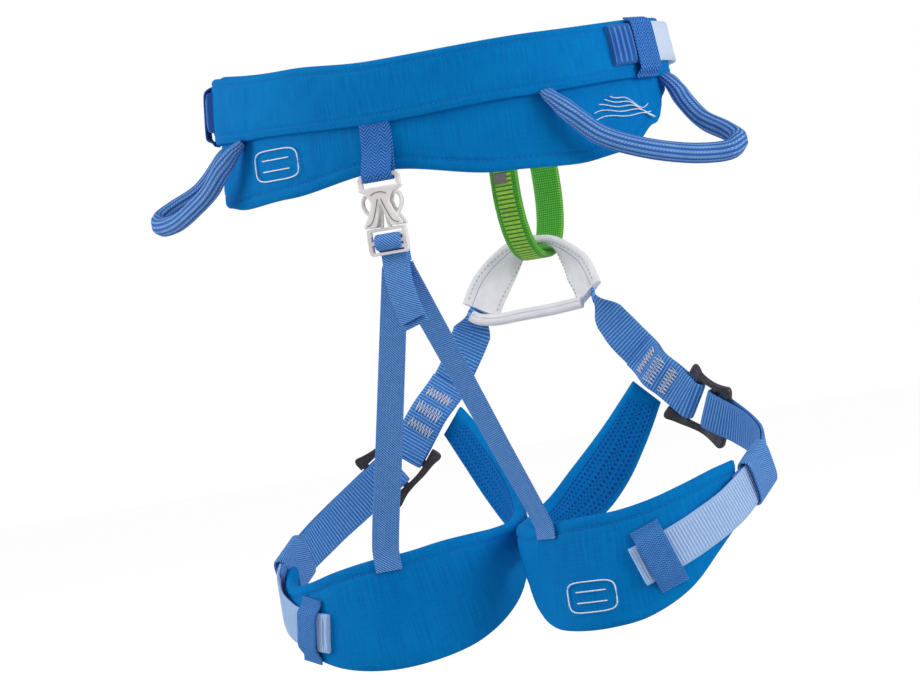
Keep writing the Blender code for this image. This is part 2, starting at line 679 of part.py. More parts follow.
def leg_straps(name, side, surface, hinge):
    track = leg_track(name, side)
    buckle_spot = STRAP_LINE[name][2]
    s_centre = track.nearest(surface(*buckle_spot)) + BUCKLE_SHIFT[name]
    s_held, s_turned = s_centre + BAR_HELD, s_centre + BAR_TURNED
    strap_buckle(f"leg_buckle_{name}", track, s_centre, s_held)

    # The riser folds round the held bar, and the fold is sewn back on the riser's inner face.
    fold = 27.0
    over = hump(s_held, BIGHT_RADIUS, 0.6, 9.0)
    under = hump(s_held, -BIGHT_RADIUS, -1.3, 9.0)
    stations = layer(track, 0.0, s_held - 1.5, over, 18)
    stations += bight(track, s_held, BIGHT_RADIUS, 1, 1)
    stations += layer(track, s_held - 1.5, s_held - fold, under, 7)
    ribbon(f"leg_riser_{name}", stations, WEBBING, WEBBING_THICK, "webbing", pivot=hinge)

    # The running strap is sewn to the pad's outer end, turns round the buckle's bar and comes back as a tail.
    s_sewn = track.nearest(surface(-19, -104 if side < 0 else -95, 2.2))
    s_tip = track.nearest(surface(LEG_TAIL_TIP, -131, 1.2))
    under = hump(s_turned, -BIGHT_RADIUS, -0.25, 16.0)
    over = hump(s_turned, BIGHT_RADIUS, 1.75, 16.0)
    stations = layer(track, s_sewn, s_turned + 1.5, under, 14)
    stations += bight(track, s_turned, BIGHT_RADIUS, -1, -1)
    stations += layer(track, s_turned + 1.5, s_tip, over, 22)
    ribbon(f"leg_strap_{name}", stations, WEBBING, WEBBING_THICK, "webbing", pivot=hinge)

    s_keeper = track.nearest(surface(LEG_KEEPER, -125, 1.2))
    s_loop = track.nearest(surface(STRAP_LOOP[name], -102 if side < 0 else -85, 1.0))
    hoop_around(f"leg_keeper_{name}", track, s_keeper, 14.0, 6.0, (0.3, 4.4), "elastic", hinge)
    hoop_around(f"leg_strap_loop_{name}", track, s_loop, 20.0, 1.4, (-2.4, 4.2), "webbing", hinge)


def hoop_around(name, track, s_middle, length, lap, offsets, finish, hinge):
    """A flat hoop round the strap's layers, open along the strap, with feet as wide as the lap."""
    half = WEBBING / 2
    low, high = offsets
    wall = 1.1
    foot = low + wall
    rings = []
    for k in (-0.5, 0.0, 0.5):
        point, _, normal, across = track.frame(s_middle + k * length)

        def corner(v, w):
            return point + across * v + normal * w

        outer = [(-half - lap, low), (-half - lap, foot), (-half - 1.5, high), (half + 1.5, high)]
        outer += [(half + lap, foot), (half + lap, low)]
        inner = [(half + lap - 0.6, low), (half + lap - 1.2, low + 0.2), (half + 0.8, high - wall)]
        inner += [(-half - 0.8, high - wall), (-half - lap + 1.2, low + 0.2), (-half - lap + 0.6, low)]
        rings.append([corner(v, w) for v, w in outer + inner])
    loft(name, rings, finish, pivot=hinge)


# ------------------------------------------------ the rear buckle and its straps

BUCKLE_TOP = 86.5
LADDER_BAR_Z = 53.4
PRONG_ROOT = (4.9, LADDER_BAR_Z + 7.2)


def rear_anchor():
    """Strap sewn under the band, folded round the upper bar of the rear buckle."""
    bar_z = BUCKLE_TOP - 1.1
    skin = -WAIST_HALF_DEPTH
    keys = [(skin - 1.7, 119), (skin - 1.7, 106), (skin - 2.3, 97), (REAR_Y + 2.3, bar_z + 1.2)]
    keys += [(REAR_Y + 1.7, bar_z - 1.6), (REAR_Y, bar_z - 2.35), (REAR_Y - 1.7, bar_z - 1.6)]
    keys += [(REAR_Y - 2.3, bar_z + 1.2), (skin - 4.8, 96), (skin - 2.9, 105)]
    keys += [(skin - 2.8, 112), (skin - 2.8, 119)]
    path = spline([(0, y, z) for y, z in keys], 30)
    stations = [(p, Vector((1, 0, 0))) for p in path]
    ribbon("rear_anchor_strap", stations, ANCHOR_STRAP, ELASTIC_THICK, "elastic")


def plate_point(u, v, w):
    """Buckle plates stand in the X-Z plane: u is z, v is x, w is y."""
    return Vector((v, w, u))


def rear_female():
    """Two lobed plates joined above the prongs' tips, and a bar for the anchor strap."""
    top = BUCKLE_TOP
    rows = [(top, 8.7, 10.2), (top - 2.2, 8.7, 11.2), (top - 7.0, 8.7, 10.8), (top - 9.4, 3.2, 7.2)]
    rows += [(top - 13.0, 0.9, 5.0), (top - 14.8, 0.8, 5.0), (top - 20.0, 1.9, 7.2), (top - 24.2, 3.5, 9.8)]
    rows += [(top - 25.7, 4.2, 10.1)]
    cells = ["LMR", "LR", "LMR", "LMR", "LMR", "LR", "LR", "LR"]
    plates = []
    for label, low, high in (("", 1.5, 3.4), ("_back", -3.4, -1.5)):
        points, faces = lattice_plate(rows[2:], cells[2:], REAR_Y - high, REAR_Y - low, plate_point)
        plates.append(add_object("rear_buckle_female" + label, points, faces, "buckle_plastic"))
    crown = lattice_plate(rows[:3], cells[:2], REAR_Y - 1.0, REAR_Y + 1.0, plate_point)
    plates.append(add_object("rear_female_crown", *crown, "buckle_plastic"))
    core_rows = [(top - 6.4, 5.0, 10.4), (top - 8.6, 3.2, 7.4), (top - 9.6, 2.6, 6.4)]
    core = lattice_plate(core_rows, ["LMR", "LMR"], REAR_Y - 2.0, REAR_Y + 2.0, plate_point)
    plates.append(add_object("rear_female_core", *core, "buckle_plastic"))
    join(*plates)


def rear_male():
    """Ladder frame for the drop straps with a guide between the prongs, and the two prongs."""
    half, bar = ELASTIC / 2 + 1.4, LADDER_BAR_Z
    rows = [(bar + 6.9, half, 10.1), (bar + 5.5, half, 10.3), (bar + 0.9, half, 10.4)]
    rows += [(bar - 0.9, half, 10.4), (bar - 4.7, half, 10.3), (bar - 6.1, half, 9.2)]
    cells = ["LMR", "LR", "LMR", "LR", "LMR"]
    ladder = lattice_plate(rows, cells, REAR_Y - 1.2, REAR_Y + 1.2, plate_point)
    frame = add_object("rear_buckle_male", *ladder, "buckle_plastic")
    rows = [(bar + 15.5, 0.35, 0.9), (bar + 13.5, 0.5, 1.2), (bar + 8.8, 1.0, 2.3), (bar + 6.2, 1.6, 3.3)]
    guide = lattice_plate(rows, ["LMR", "LR", "LR"], REAR_Y - 0.9, REAR_Y + 0.9, plate_point)
    join(frame, add_object("rear_male_guide", *guide, "buckle_plastic"))
    for name, side in SIDES:
        keys = [(5.9, bar + 7.4), (6.1, bar + 10), (7.4, bar + 13.3), (9.2, bar + 15.7), (10.2, bar + 18.6)]
        keys += [(9.8, bar + 21.4), (8.5, bar + 23)]
        path = spline([(side * x, REAR_Y, z) for x, z in keys], 12)
        stations = [(p, Vector((0, 1, 0))) for p in path]
        pivot = (side * PRONG_ROOT[0], REAR_Y, PRONG_ROOT[1])
        ribbon(f"rear_buckle_prong_{name}", stations, 2.4, 1.7, "buckle_plastic", pivot=pivot)


def drop_straps():
    """Elastic straps from the back of each leg loop up through the ladder frame. Each goes over the frame's
    middle bar and hangs down again as one layer of the doubled tail."""
    around = [(6.3, -10), (6.0, -4.7), (3.9, 0.8), (1.3, 2.85), (-1.3, 2.6), (-2.7, 0.3), (-2.1, -2.1)]
    around += [(0.4, -2.9), (3.25, -4.9), (3.5, -8.2)]
    tail = [(2.6, -0.6, 34), (5.0, -1.8, 23), (8.4, -2.2, 11.5)]
    for name, side in SIDES:
        surface = thigh_surface(side)
        turn = DROP_STRAP_TURN[name]
        inner = -1 if side < 0 else 1  # the left strap is the inner layer round the bar
        end, edge = surface(turn, -106, 1.9), surface(turn, -94, 2.3)
        top = Vector((side * 1.2, REAR_Y + 6.3 + 0.66 * inner, LADDER_BAR_Z - 12))
        climb = [end, edge, edge.lerp(top, 0.33), edge.lerp(top, 0.66), top]
        path = spline(climb, 14)
        slope = (surface(turn + 5, -100) - surface(turn - 5, -100)).normalized() * side
        stations = []
        for i, p in enumerate(path[:-1]):
            share = i / (len(path) - 1)
            stations.append((p, slope.lerp(Vector((1, 0, 0)), share)))
        middle = [Vector((0.6, REAR_Y + y, LADDER_BAR_Z + z)) for y, z in around]
        middle += [Vector((x, REAR_Y + y, z)) for x, y, z in tail]
        points = spline(middle, 40)
        normals = []
        for i in range(len(points)):
            tangent = points[min(i + 1, len(points) - 1)] - points[max(i - 1, 0)]
            normals.append(Vector((1, 0, 0)).cross(tangent).normalized())
        turned = Track(points, normals)
        end_s = turned.lengths[-1] - (0.0 if side < 0 else 3.0)
        stations += layer(turned, 0.0, end_s, lambda s: -0.66 * inner, 40)
        ribbon(f"drop_strap_{name}", stations, ELASTIC, ELASTIC_THICK, "elastic")


def main():
    for old in list(bpy.data.objects):
        bpy.data.objects.remove(old)
    waist_pad()
    waist_straps(strap_line(-180, 180, 5))
    waist_tie_in()
    waist_keepers()
    gear_loops()
    belay_loop()
    yoke()
    for name, side in SIDES:
        leg_loop(name, side)
    rear_anchor()
    rear_female()
    rear_male()
    drop_straps()


main()
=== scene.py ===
import math

import bmesh
import bpy
import numpy as np
from mathutils import Matrix, Vector


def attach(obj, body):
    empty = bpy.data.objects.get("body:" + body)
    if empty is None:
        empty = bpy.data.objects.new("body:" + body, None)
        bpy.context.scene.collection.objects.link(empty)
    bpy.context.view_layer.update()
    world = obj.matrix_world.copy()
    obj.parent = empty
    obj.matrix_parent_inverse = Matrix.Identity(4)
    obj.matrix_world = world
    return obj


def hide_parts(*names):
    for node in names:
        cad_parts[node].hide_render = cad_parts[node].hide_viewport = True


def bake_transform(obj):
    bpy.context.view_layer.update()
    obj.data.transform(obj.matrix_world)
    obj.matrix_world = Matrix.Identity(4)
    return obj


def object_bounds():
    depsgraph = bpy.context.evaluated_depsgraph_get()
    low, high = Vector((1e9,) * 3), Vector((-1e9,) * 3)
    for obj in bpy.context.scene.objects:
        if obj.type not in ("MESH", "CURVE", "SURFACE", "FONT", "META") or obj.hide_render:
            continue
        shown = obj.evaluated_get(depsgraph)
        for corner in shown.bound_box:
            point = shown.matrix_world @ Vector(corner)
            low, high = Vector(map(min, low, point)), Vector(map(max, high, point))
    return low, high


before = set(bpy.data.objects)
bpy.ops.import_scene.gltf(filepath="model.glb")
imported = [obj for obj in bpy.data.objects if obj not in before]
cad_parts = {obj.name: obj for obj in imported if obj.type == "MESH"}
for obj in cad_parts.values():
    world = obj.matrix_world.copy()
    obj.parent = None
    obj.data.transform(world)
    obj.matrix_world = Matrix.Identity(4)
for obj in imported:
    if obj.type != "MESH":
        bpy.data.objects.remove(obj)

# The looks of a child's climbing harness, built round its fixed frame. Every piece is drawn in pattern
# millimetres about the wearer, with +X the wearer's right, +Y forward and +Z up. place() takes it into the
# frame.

cad_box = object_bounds()

# The pattern's own dimensions, the same as the frame's. An edge is given by (turn, z) keys, with turns in
# degrees round the waist or the thigh, and STRAP_LINE by (turn, z, offset).
SIZE = 1.08  # real millimetres to one of the pattern's
WAIST_HALF_WIDTH = 115.0
WAIST_HALF_DEPTH = 82.5
WAIST_PAD_END = 97.0  # turn from the back's centre to either end
BAND_TOP = [(-97, 148.0), (-75, 147.0), (-24, 142.0), (0, 139.0), (45, 141.3), (97, 143.5)]
BAND_BOTTOM = [(-97, 113.5), (-75, 113.5), (-38, 111.2), (0, 108.5), (38, 111.2), (75, 113.5), (97, 113.5)]
PAD_BOTTOM = [(-97, 118.0), (-90, 104.0), (-80, 91.0), (-66, 80.5), (-50, 78.0), (-30, 79.5), (0, 85.7)]
PAD_BOTTOM += [(30, 77.0), (50, 75.6), (66, 78.8), (80, 90.5), (90, 104.0), (97, 118.0)]
BAND_SEAMS = [("low", 1.7), ("low", 4.0), ("high", 3.4)]  # (edge, distance from it)
WAIST_PAD_FACES = (-5.0, 1.0)  # offsets of the inner and the outer face
WAIST_LINING_FACES = (-5.75, -4.7)
BAND_FACES = (0.9, 4.7)
LEG_PAD_FACES = (-4.9, 1.0)
LEG_LINING_FACES = (-5.5, -4.5)
HIP_FLARE = 4.5
BELT_LIFT = 2.0
BELT_TILT = 0.02
STRAP_HEIGHT = [(0, 127.5), (45, 128.8), (90, 130.3)]
THIGH_X = 65.5
THIGH_Y = 17.0
THIGH_HALF_WIDTH = 62.5
THIGH_HALF_DEPTH = 62.5
WEBBING = 20.0
WEBBING_THICK = 1.5
ELASTIC = 13.5
ELASTIC_THICK = 1.0
ANCHOR_STRAP = 16.0
BELAY_WEBBING = 15.5
BELAY_THICK = 3.4
BELAY_Y = 93.5
BELAY_LOW = 40.4
BELAY_HIGH = 113.4
BELAY_HALF_DEPTH = 26.5
BELAY_BEND = 2.3  # 2 is an ellipse, and more is nearer to a box
LAP_TOP = 91.0
YOKE_NARROW = 14.5
YOKE_SPREAD = 6.0  # how much wider the yoke is at its ends
YOKE_THICK = 3.8
REAR_Y = -89.5
GEAR_REAR = (45.0, 105.5)  # (turn, z) of the gear loops' ends
GEAR_FRONT = (88.0, 107.5)
GEAR_OFF = 7.2  # offset of the ends from the waist
GEAR_SEWN = 13.0  # length over which each end flattens
WAIST_BUCKLE_TURN = 132.0
WAIST_TAIL_TIP = 65.0
WAIST_TAIL_LIFT = 3.9  # of the strap's outer layer over its inner layer
WAIST_KEEPER = 77.5
GEAR_SHEATH = (4.8, 4.4)
GEAR_DROP = {"left": 0.74, "right": 0.90}
GEAR_OUT = {"left": 0.89, "right": 1.0}
BAR_HELD = -7.5  # the two bars of a steel buckle, along the strap from its centre
BAR_TURNED = 4.5
BUCKLE_HALF = 16.5
BUCKLE_THICK = 2.4
BIGHT_RADIUS = 3.0  # of the strap's middle, round a bar
BAR_NEAR = 1.5  # how near to a bar the flat run of a strap comes
BUCKLE_TOP = 86.5
LADDER_BAR_Z = 53.4
RISER_FOLD = 44.0  # how far a riser's sewn end reaches back from its bar
BARTACKS = (16.0, 25.0, 34.0)
LEG_KEEPER = -61.5
LEG_TAIL_TIP = -71.5
BUCKLE_SHIFT = {"left": 12.0, "right": 15.0}
LEG_STRAP_SEWN = {"left": (-19.0, -104.0), "right": (-19.0, -95.0)}  # (turn, z)
STRAP_LOOP = {"left": (2.5, -102.0), "right": (-5.5, -85.0)}
DROP_STRAP_END = {"left": (254.0, -106.0), "right": (243.0, -101.0)}
RISER_GATHER = {"left": 0.13, "right": 0.16}  # share of a riser that its narrow end takes
FRONT_LOW = [(94, -46), (104, -65), (116, -84), (130, -98), (150, -107)]
FRONT_HIGH = [(106, -33), (125, -55), (143, -72), (160, -85), (180, -92), (197, -94), (212, -94.5)]
FRONT_HIGH += [(228, -95.5)]
PAD_LOW = {
    "left": [(170, -117), (188, -132), (204, -142), (220, -149), (240, -153.5), (260, -155), (282, -152.5)]
    + [(300, -147), (318, -139), (335, -129), (350, -120)],
    "right": [(172, -107.5), (190, -110), (203, -112.5), (215, -123), (226, -137.5), (236, -145)]
    + [(250, -147.5), (270, -147.5), (288, -144.5), (308, -134.5), (325, -119), (342, -104.5)],
}
PAD_HIGH = {
    "left": [(245, -98), (262, -99.5), (282, -103), (300, -107), (318, -108.5), (335, -105.5), (350, -100)],
    "right": [(245, -93.5), (262, -92.5), (280, -91.5), (296, -88.5), (312, -84.0), (328, -79.5)]
    + [(342, -77.0)],
}
STRAP_LINE = {
    "left": [(91, -33, -8.5), (84, -41, -9.0), (77, -49, -9.0), (71, -55.5, -8.5), (60, -63, -6.5)]
    + [(45, -73.5, -3.5), (27, -86, 0.0), (8, -98, 2.0), (-10, -108, 2.7), (-28, -118, 2.4)]
    + [(-45, -126, 1.5), (-60, -130.5, 1.3), (-74, -133.5, 1.3)],
    "right": [(92, -29, -8.5), (85, -35, -9.0), (78, -41.5, -9.0), (72, -46.5, -8.5), (60, -54, -6.5)]
    + [(45, -62.5, -3.5), (27, -71.5, 0.0), (8, -79.5, 2.0), (-10, -87.5, 2.7), (-28, -98.5, 2.4)]
    + [(-45, -107.5, 1.5), (-60, -114.5, 1.3), (-74, -120.0, 1.3)],
}
ORIGIN = Vector((0.0, BELAY_Y, BELAY_LOW))
SIDES = (("left", -1), ("right", 1))

# Finish sizes, in pattern millimetres.
RIB_PITCH = 1.7
RIDGE_PITCH = 3.3  # of the rolled tail ends
LADDER_PITCH = 2.3  # of the belay loop's rungs
SEAM_INSET = 5.6  # from a pad's edge to its stitched line
SEAM_DEPTH = 0.55
SEAM_WIDTH = 0.75
STITCH_PITCH = 2.5
STITCH_SHARE = 0.62  # how much of the pitch a thread covers
THREAD_DIP = 0.16
THREAD_RISE = 0.12
EDGE_ROUND = 2.8
NARROW_PAD = 24.0  # the rows of a pad narrower than this draw together
PAD_SPACING = 2.6
STRAP_EDGE = 0.9  # plain edge of a strap, beside its ribs
INNER_FACE = 100.0  # the weave map's v on a strap's inner face starts from here
BRAID_GIRTH = 34.0
BRAID_RIDGES = 6
BRAID_ROW = BRAID_GIRTH / (2 * BRAID_RIDGES)
SHARP_EDGE = math.radians(50)

# The studio. The floor is clear of the leg loops when they swing.
WORLD_LIGHT = 0.34
FLOOR_GLOW = 0.62
FLOOR_DROP = 0.06  # metres below the harness
LAMPS = {  # place from the harness's middle in metres, size and power
    "left_box": ((-1.25, -0.55, 0.45), 0.9, 9.8),
    "right_box": ((1.35, -0.35, 0.40), 0.9, 9.8),
    "top_box": ((0.1, -0.5, 1.4), 1.0, 4.5),
}
CAMERA_TURN = math.radians(23.6)
CAMERA_ROLL = math.radians(9.0)
CAMERA_AWAY = 2000.0  # in pattern millimetres, as CAMERA_SHIFT is
CAMERA_SHIFT = (-9.5, -1.5)  # across and upward
CAMERA_LENS = 156.5


# ------------------------------------------------------------ curves and surfaces


def place(points):
    """Pattern millimetres to metres in the frame, for one point or an array of them."""
    return (np.asarray(points, float) - np.array(ORIGIN)) * (SIZE * 0.001)


def running_lengths(points):
    """The distance along a list of Vectors to each of them."""
    found = [0.0]
    for a, b in zip(points, points[1:]):
        found.append(found[-1] + (b - a).length)
    return found


def hermite(start, lead, end, tail, u):
    """The cubic from start to end that sets out along lead and arrives along tail, at u from 0 to 1."""
    first = start * (2 * u**3 - 3 * u**2 + 1) + lead * (u**3 - 2 * u**2 + u)
    return first + end * (3 * u**2 - 2 * u**3) + tail * (u**3 - u**2)


def catmull(keys):
    """A smooth curve through the keys, as a function of the share of its chord length."""
    keys = [Vector(k) for k in keys]
    knots = running_lengths(keys)
    ends = [2 * keys[0] - keys[1]] + keys + [2 * keys[-1] - keys[-2]]

    def at_share(share):
        at = knots[-1] * share
        k = max(j for j in range(len(keys) - 1) if knots[j] <= at + 1e-9)
        span = knots[k + 1] - knots[k]
        before, start, end, after = ends[k : k + 4]
        lead = (end - before) * (span / max(1e-9, (end - start).length + (start - before).length))
        tail = (after - start) * (span / max(1e-9, (end - start).length + (after - end).length))
        return hermite(start, lead, end, tail, min(1.0, (at - knots[k]) / span))

    return at_share


def spline(keys, steps):
    curve = catmull(keys)
    return [curve(i / steps) for i in range(steps + 1)]


def mirrored(half):
    """(x, y, z) keys up to x = 0, and the same keys mirrored after them."""
    return half + [(-x, y, z) for x, y, z in reversed(half[:-1])]


def between(keys, at):
    """Smooth interpolation of (position, value) keys."""
    for (x0, y0), (x1, y1) in zip(keys, keys[1:]):
        if at <= x1:
            u = max(0.0, (at - x0) / (x1 - x0))
            return y0 + (y1 - y0) * u * u * (3 - 2 * u)
    return keys[-1][1]


def boxed(value, power):
    """A sine or cosine pushed outward, so that an oval drawn with it comes nearer to a box."""
    return math.copysign(abs(value) ** power, value)


def waist_point(turn, z, offset=0.0):
    """A point on the waist's oval, turned in degrees from the back's centre towards the wearer's right."""
    t = math.radians(turn)
    normal = Vector((math.sin(t) / WAIST_HALF_WIDTH, -math.cos(t) / WAIST_HALF_DEPTH, 0)).normalized()
    widened = offset + HIP_FLARE * math.sin(t) ** 2 * (125.0 - z) / 40.0
    x, y = WAIST_HALF_WIDTH * math.sin(t), -WAIST_HALF_DEPTH * math.cos(t)
    return Vector((x, y, z + BELT_LIFT - BELT_TILT * x)) + normal * widened


def thigh_surface(side):
    """Thigh oval for one side. Turn is in degrees: 0 outward, 90 front, 180 inward and 270 back."""

    def point(turn, z, offset=0.0):
        a = math.radians(turn)
        normal = Vector((math.cos(a) / THIGH_HALF_WIDTH, math.sin(a) / THIGH_HALF_DEPTH, 0)).normalized()
        x = THIGH_X + THIGH_HALF_WIDTH * math.cos(a)
        y = THIGH_Y + THIGH_HALF_DEPTH * math.sin(a)
        spot = Vector((x, y, z)) + normal * offset
        return Vector((side * spot.x, spot.y, spot.z))

    return point


class Track:
    """A path that straps follow, with its outward direction at each point, measured by arc length."""

    def __init__(self, points, normals):
        self.points = points
        self.normals = normals
        self.lengths = running_lengths(points)

    def frame(self, s):
        """(point, tangent, normal, across) at arc length s."""
        last = len(self.points) - 2
        k = int(np.searchsorted(self.lengths, s, side="right")) - 1
        k = max(0, min(last, k))
        u = (s - self.lengths[k]) / (self.lengths[k + 1] - self.lengths[k])
        point = self.points[k].lerp(self.points[k + 1], u)
        tangent = (self.points[min(k + 2, last + 1)] - self.points[max(k - 1, 0)]).normalized()
        normal = self.normals[k].lerp(self.normals[k + 1], max(0.0, min(1.0, u)))
        normal = (normal - tangent * normal.dot(tangent)).normalized()
        return point, tangent, normal, normal.cross(tangent)

    def at(self, s, offset):
        point, _, normal, across = self.frame(s)
        return point + normal * offset, across

    def nearest(self, spot):
        """Arc length of the track's closest point to the spot."""
        best = (float("inf"), 0.0)
        for k, (a, b) in enumerate(zip(self.points, self.points[1:])):
            along = b - a
            u = max(0.0, min(1.0, (spot - a).dot(along) / along.length_squared))
            best = min(best, ((a + along * u - spot).length, self.lengths[k] + along.length * u))
        return best[1]

    def around(self, s, outline):
        """Stations of a strap that crosses the track at s, through (across, outward) spots."""
        point, tangent, normal, across = self.frame(s)
        return [(point + across * v + normal * w, tangent) for v, w in outline]


def layer(track, start, end, offset, step=1.0):
    """Stations of a strap that runs along the track from start to end, offset(s) away from it."""
    steps = max(2, round(abs(end - start) / step))
    places = [start + (end - start) * i / steps for i in range(steps + 1)]
    return [track.at(s, offset(s)) for s in places]


def bight(track, s_bar, first_sign, reach, steps=16):
    """Stations of a strap's half turn round a bar that crosses the track at s_bar."""
    point, tangent, normal, across = track.frame(s_bar)
    stations = []
    for i in range(steps + 1):
        turn = math.pi * i / steps
        away = tangent * reach * math.sin(turn) + normal * first_sign * math.cos(turn)
        stations.append((point + away * BIGHT_RADIUS, across))
    return stations


def folded(track, start, bar, end, before, after, way):
    """Stations of a strap that runs from start to a bar, turns round it and runs on to end. way is 1 where it
    turns back against the track's direction, and -1 where it turns back along it."""
    near = bar - way * BAR_NEAR
    return layer(track, start, near, before) + bight(track, bar, way, way) + layer(track, near, end, after)


def hump(s_bar, near, far, spread):
    """An offset that is near at the bar and falls to far away from it."""
    return lambda s: far + (near - far) * math.exp(-(((s - s_bar) / spread) ** 2))


# ------------------------------------------------------------------- mesh builders


def unit(v):
    return v / np.linalg.norm(v, axis=-1, keepdims=True)


def array_of(points):
    return np.array([list(p) for p in points], float)


def lengths_along(points):
    """The distance along an array of points to each of them."""
    return np.concatenate([[0.0], np.cumsum(np.linalg.norm(np.diff(points, axis=0), axis=1))])


def sampled(at, lengths, points):
    """The points at these distances along an array of points."""
    return np.stack([np.interp(at, lengths, points[:, j]) for j in range(3)], -1)


def settle(name, mesh, body, finish, replaced=()):
    """Gives a mesh its finish and its body, and hides the frame's nodes that it stands for."""
    shape = bmesh.new()
    shape.from_mesh(mesh)
    bmesh.ops.recalc_face_normals(shape, faces=shape.faces)
    if shape.calc_volume(signed=True) < 0:
        bmesh.ops.reverse_faces(shape, faces=shape.faces)
    shape.to_mesh(mesh)
    shape.free()
    mesh.shade_smooth()
    mesh.set_sharp_from_angle(angle=SHARP_EDGE)
    mesh.materials.append(finish)
    piece = bpy.data.objects.new(name, mesh)
    bpy.context.scene.collection.objects.link(piece)
    if body:
        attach(piece, body)
    if replaced:
        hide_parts(*replaced)
    return piece


def woven_mesh(name, points, faces, uv):
    """A mesh in the frame from pattern points, with a weave map whose coordinates are in millimetres."""
    mesh = bpy.data.meshes.new(name)
    mesh.from_pydata(place(points).tolist(), [], faces)
    weave = mesh.uv_layers.new(name="weave")
    weave.data.foreach_set("uv", np.array(uv, np.float32).ravel())
    return mesh


def grid_mesh(name, rings, us, vs, closed=False):
    """Quads through rings of points, with caps at the ends unless the rings meet. us and vs are the weave map
    at each ring and round it."""
    rings = np.asarray(rings, float)
    count, size, _ = rings.shape
    spans = count if closed else count - 1
    i, k = (index.ravel() for index in np.meshgrid(np.arange(spans), np.arange(size), indexing="ij"))
    i2, k2 = (i + 1) % count, (k + 1) % size
    faces = np.stack([i * size + k, i * size + k2, i2 * size + k2, i2 * size + k], 1).tolist()
    us, vs = np.asarray(us, float), np.asarray(vs, float)
    u = np.stack([us[i], us[i], us[i + 1], us[i + 1]], 1)
    v = np.stack([vs[k], vs[k + 1], vs[k + 1], vs[k]], 1)
    uv = np.stack([u, v], 2).reshape(-1, 2)
    if not closed:
        for end in (0, count - 1):
            faces.append(list(range(end * size, (end + 1) * size)))
            uv = np.concatenate([uv, np.stack([np.full(size, us[end]), vs[:size]], 1)])
    return woven_mesh(name, rings.reshape(-1, 3), faces, uv)


def resampled(stations, step, closed=False):
    """Evenly spaced centres, width directions and arc lengths along the stations."""
    centres = array_of(c for c, _ in stations)
    across = array_of(a.normalized() for _, a in stations)
    if closed:
        centres, across = (np.vstack([part, part[:1]]) for part in (centres, across))
    gaps = np.linalg.norm(np.diff(centres, axis=0), axis=1)
    keep = np.concatenate([[True], gaps > 1e-6])
    centres, across = centres[keep], across[keep]
    lengths = lengths_along(centres)
    at = np.linspace(0, lengths[-1], max(3, round(lengths[-1] / step)) + 1)
    last = -1 if closed else None
    return sampled(at, lengths, centres)[:last], sampled(at, lengths, across)[:last], at


def strap_frames(centres, across, closed=False):
    """Unit across and outward directions for each centre."""
    if closed:
        tangent = np.roll(centres, -1, 0) - np.roll(centres, 1, 0)
    else:
        tangent = np.gradient(centres, axis=0)
    tangent = unit(tangent)
    across = unit(across - tangent * (across * tangent).sum(1, keepdims=True))
    return across, np.cross(tangent, across)


def strap_mesh(
    name, stations, width, thick, step=0.42, closed=False, rib=0.0, pitch=RIB_PITCH, columns=7, crown=0.0
):
    """Flat webbing with rounded edges, and ribs across it where rib is their depth. The weave map's v is the
    distance from the middle on the outer face, and the same plus INNER_FACE on the inner face."""
    centres, across, at = resampled(stations, step, closed)
    side, up = strap_frames(centres, across, closed)
    count = len(centres)
    shares = np.linspace(0, 1, count)
    half_width = np.array([width(s) if callable(width) else width for s in shares]) / 2
    half = thick / 2
    first = float(half_width[0])
    rounding = 1.1 * half
    fall = [(rounding * e - first, math.sqrt(1 - (1 - e) ** 2), 0.0) for e in (0.0, 0.12, 0.45, 1.0)]
    flat = first - rounding - STRAP_EDGE
    top = fall + [(v * flat, 1.0, 1.0) for v in np.linspace(-1, 1, columns + 2)[1:-1]]
    top += [(-v, h, 0.0) for v, h, _ in reversed(fall)]
    back = [(v, -h, r) for v, h, r in reversed(top[1:-1])]
    ring_v, ring_h, ring_rib = np.array(top + back).T
    ring_v = ring_v / first
    wave = rib * np.cos(2 * math.pi * at[:count] / pitch)
    lift = ring_h * (half + crown * (1 - ring_v**2)) + np.sign(ring_h) * ring_rib * wave[:, None]
    rings = centres[:, None, :] + side[:, None, :] * (ring_v * half_width[:, None])[:, :, None]
    rings = rings + up[:, None, :] * lift[:, :, None]
    vs = np.append(ring_v, ring_v[0]) * first
    vs[len(top) :] += INNER_FACE
    return grid_mesh(name, rings, at, vs, closed)


def strap(name, stations, width, thick, body, slot, finish, replaced=(), **more):
    mesh = strap_mesh(name, stations, width, thick, **more)
    return settle(name, mesh, body, finish, replaced)


def webbing(name, stations, body, finish, replaced, width=WEBBING, **more):
    return strap(name, stations, width, WEBBING_THICK, body, "webbing", finish, replaced, **more)


def pad_column(surface, edges, share):
    """A pad's height at a share of its length, and the (turn, z) at a share of that height."""
    low, high = edges
    (low_turn, low_z), (high_turn, high_z) = low(share)[:2], high(share)[:2]
    height = (surface(high_turn, high_z) - surface(low_turn, low_z)).length
    return height, lambda up: (low_turn + (high_turn - low_turn) * up, low_z + (high_z - low_z) * up)


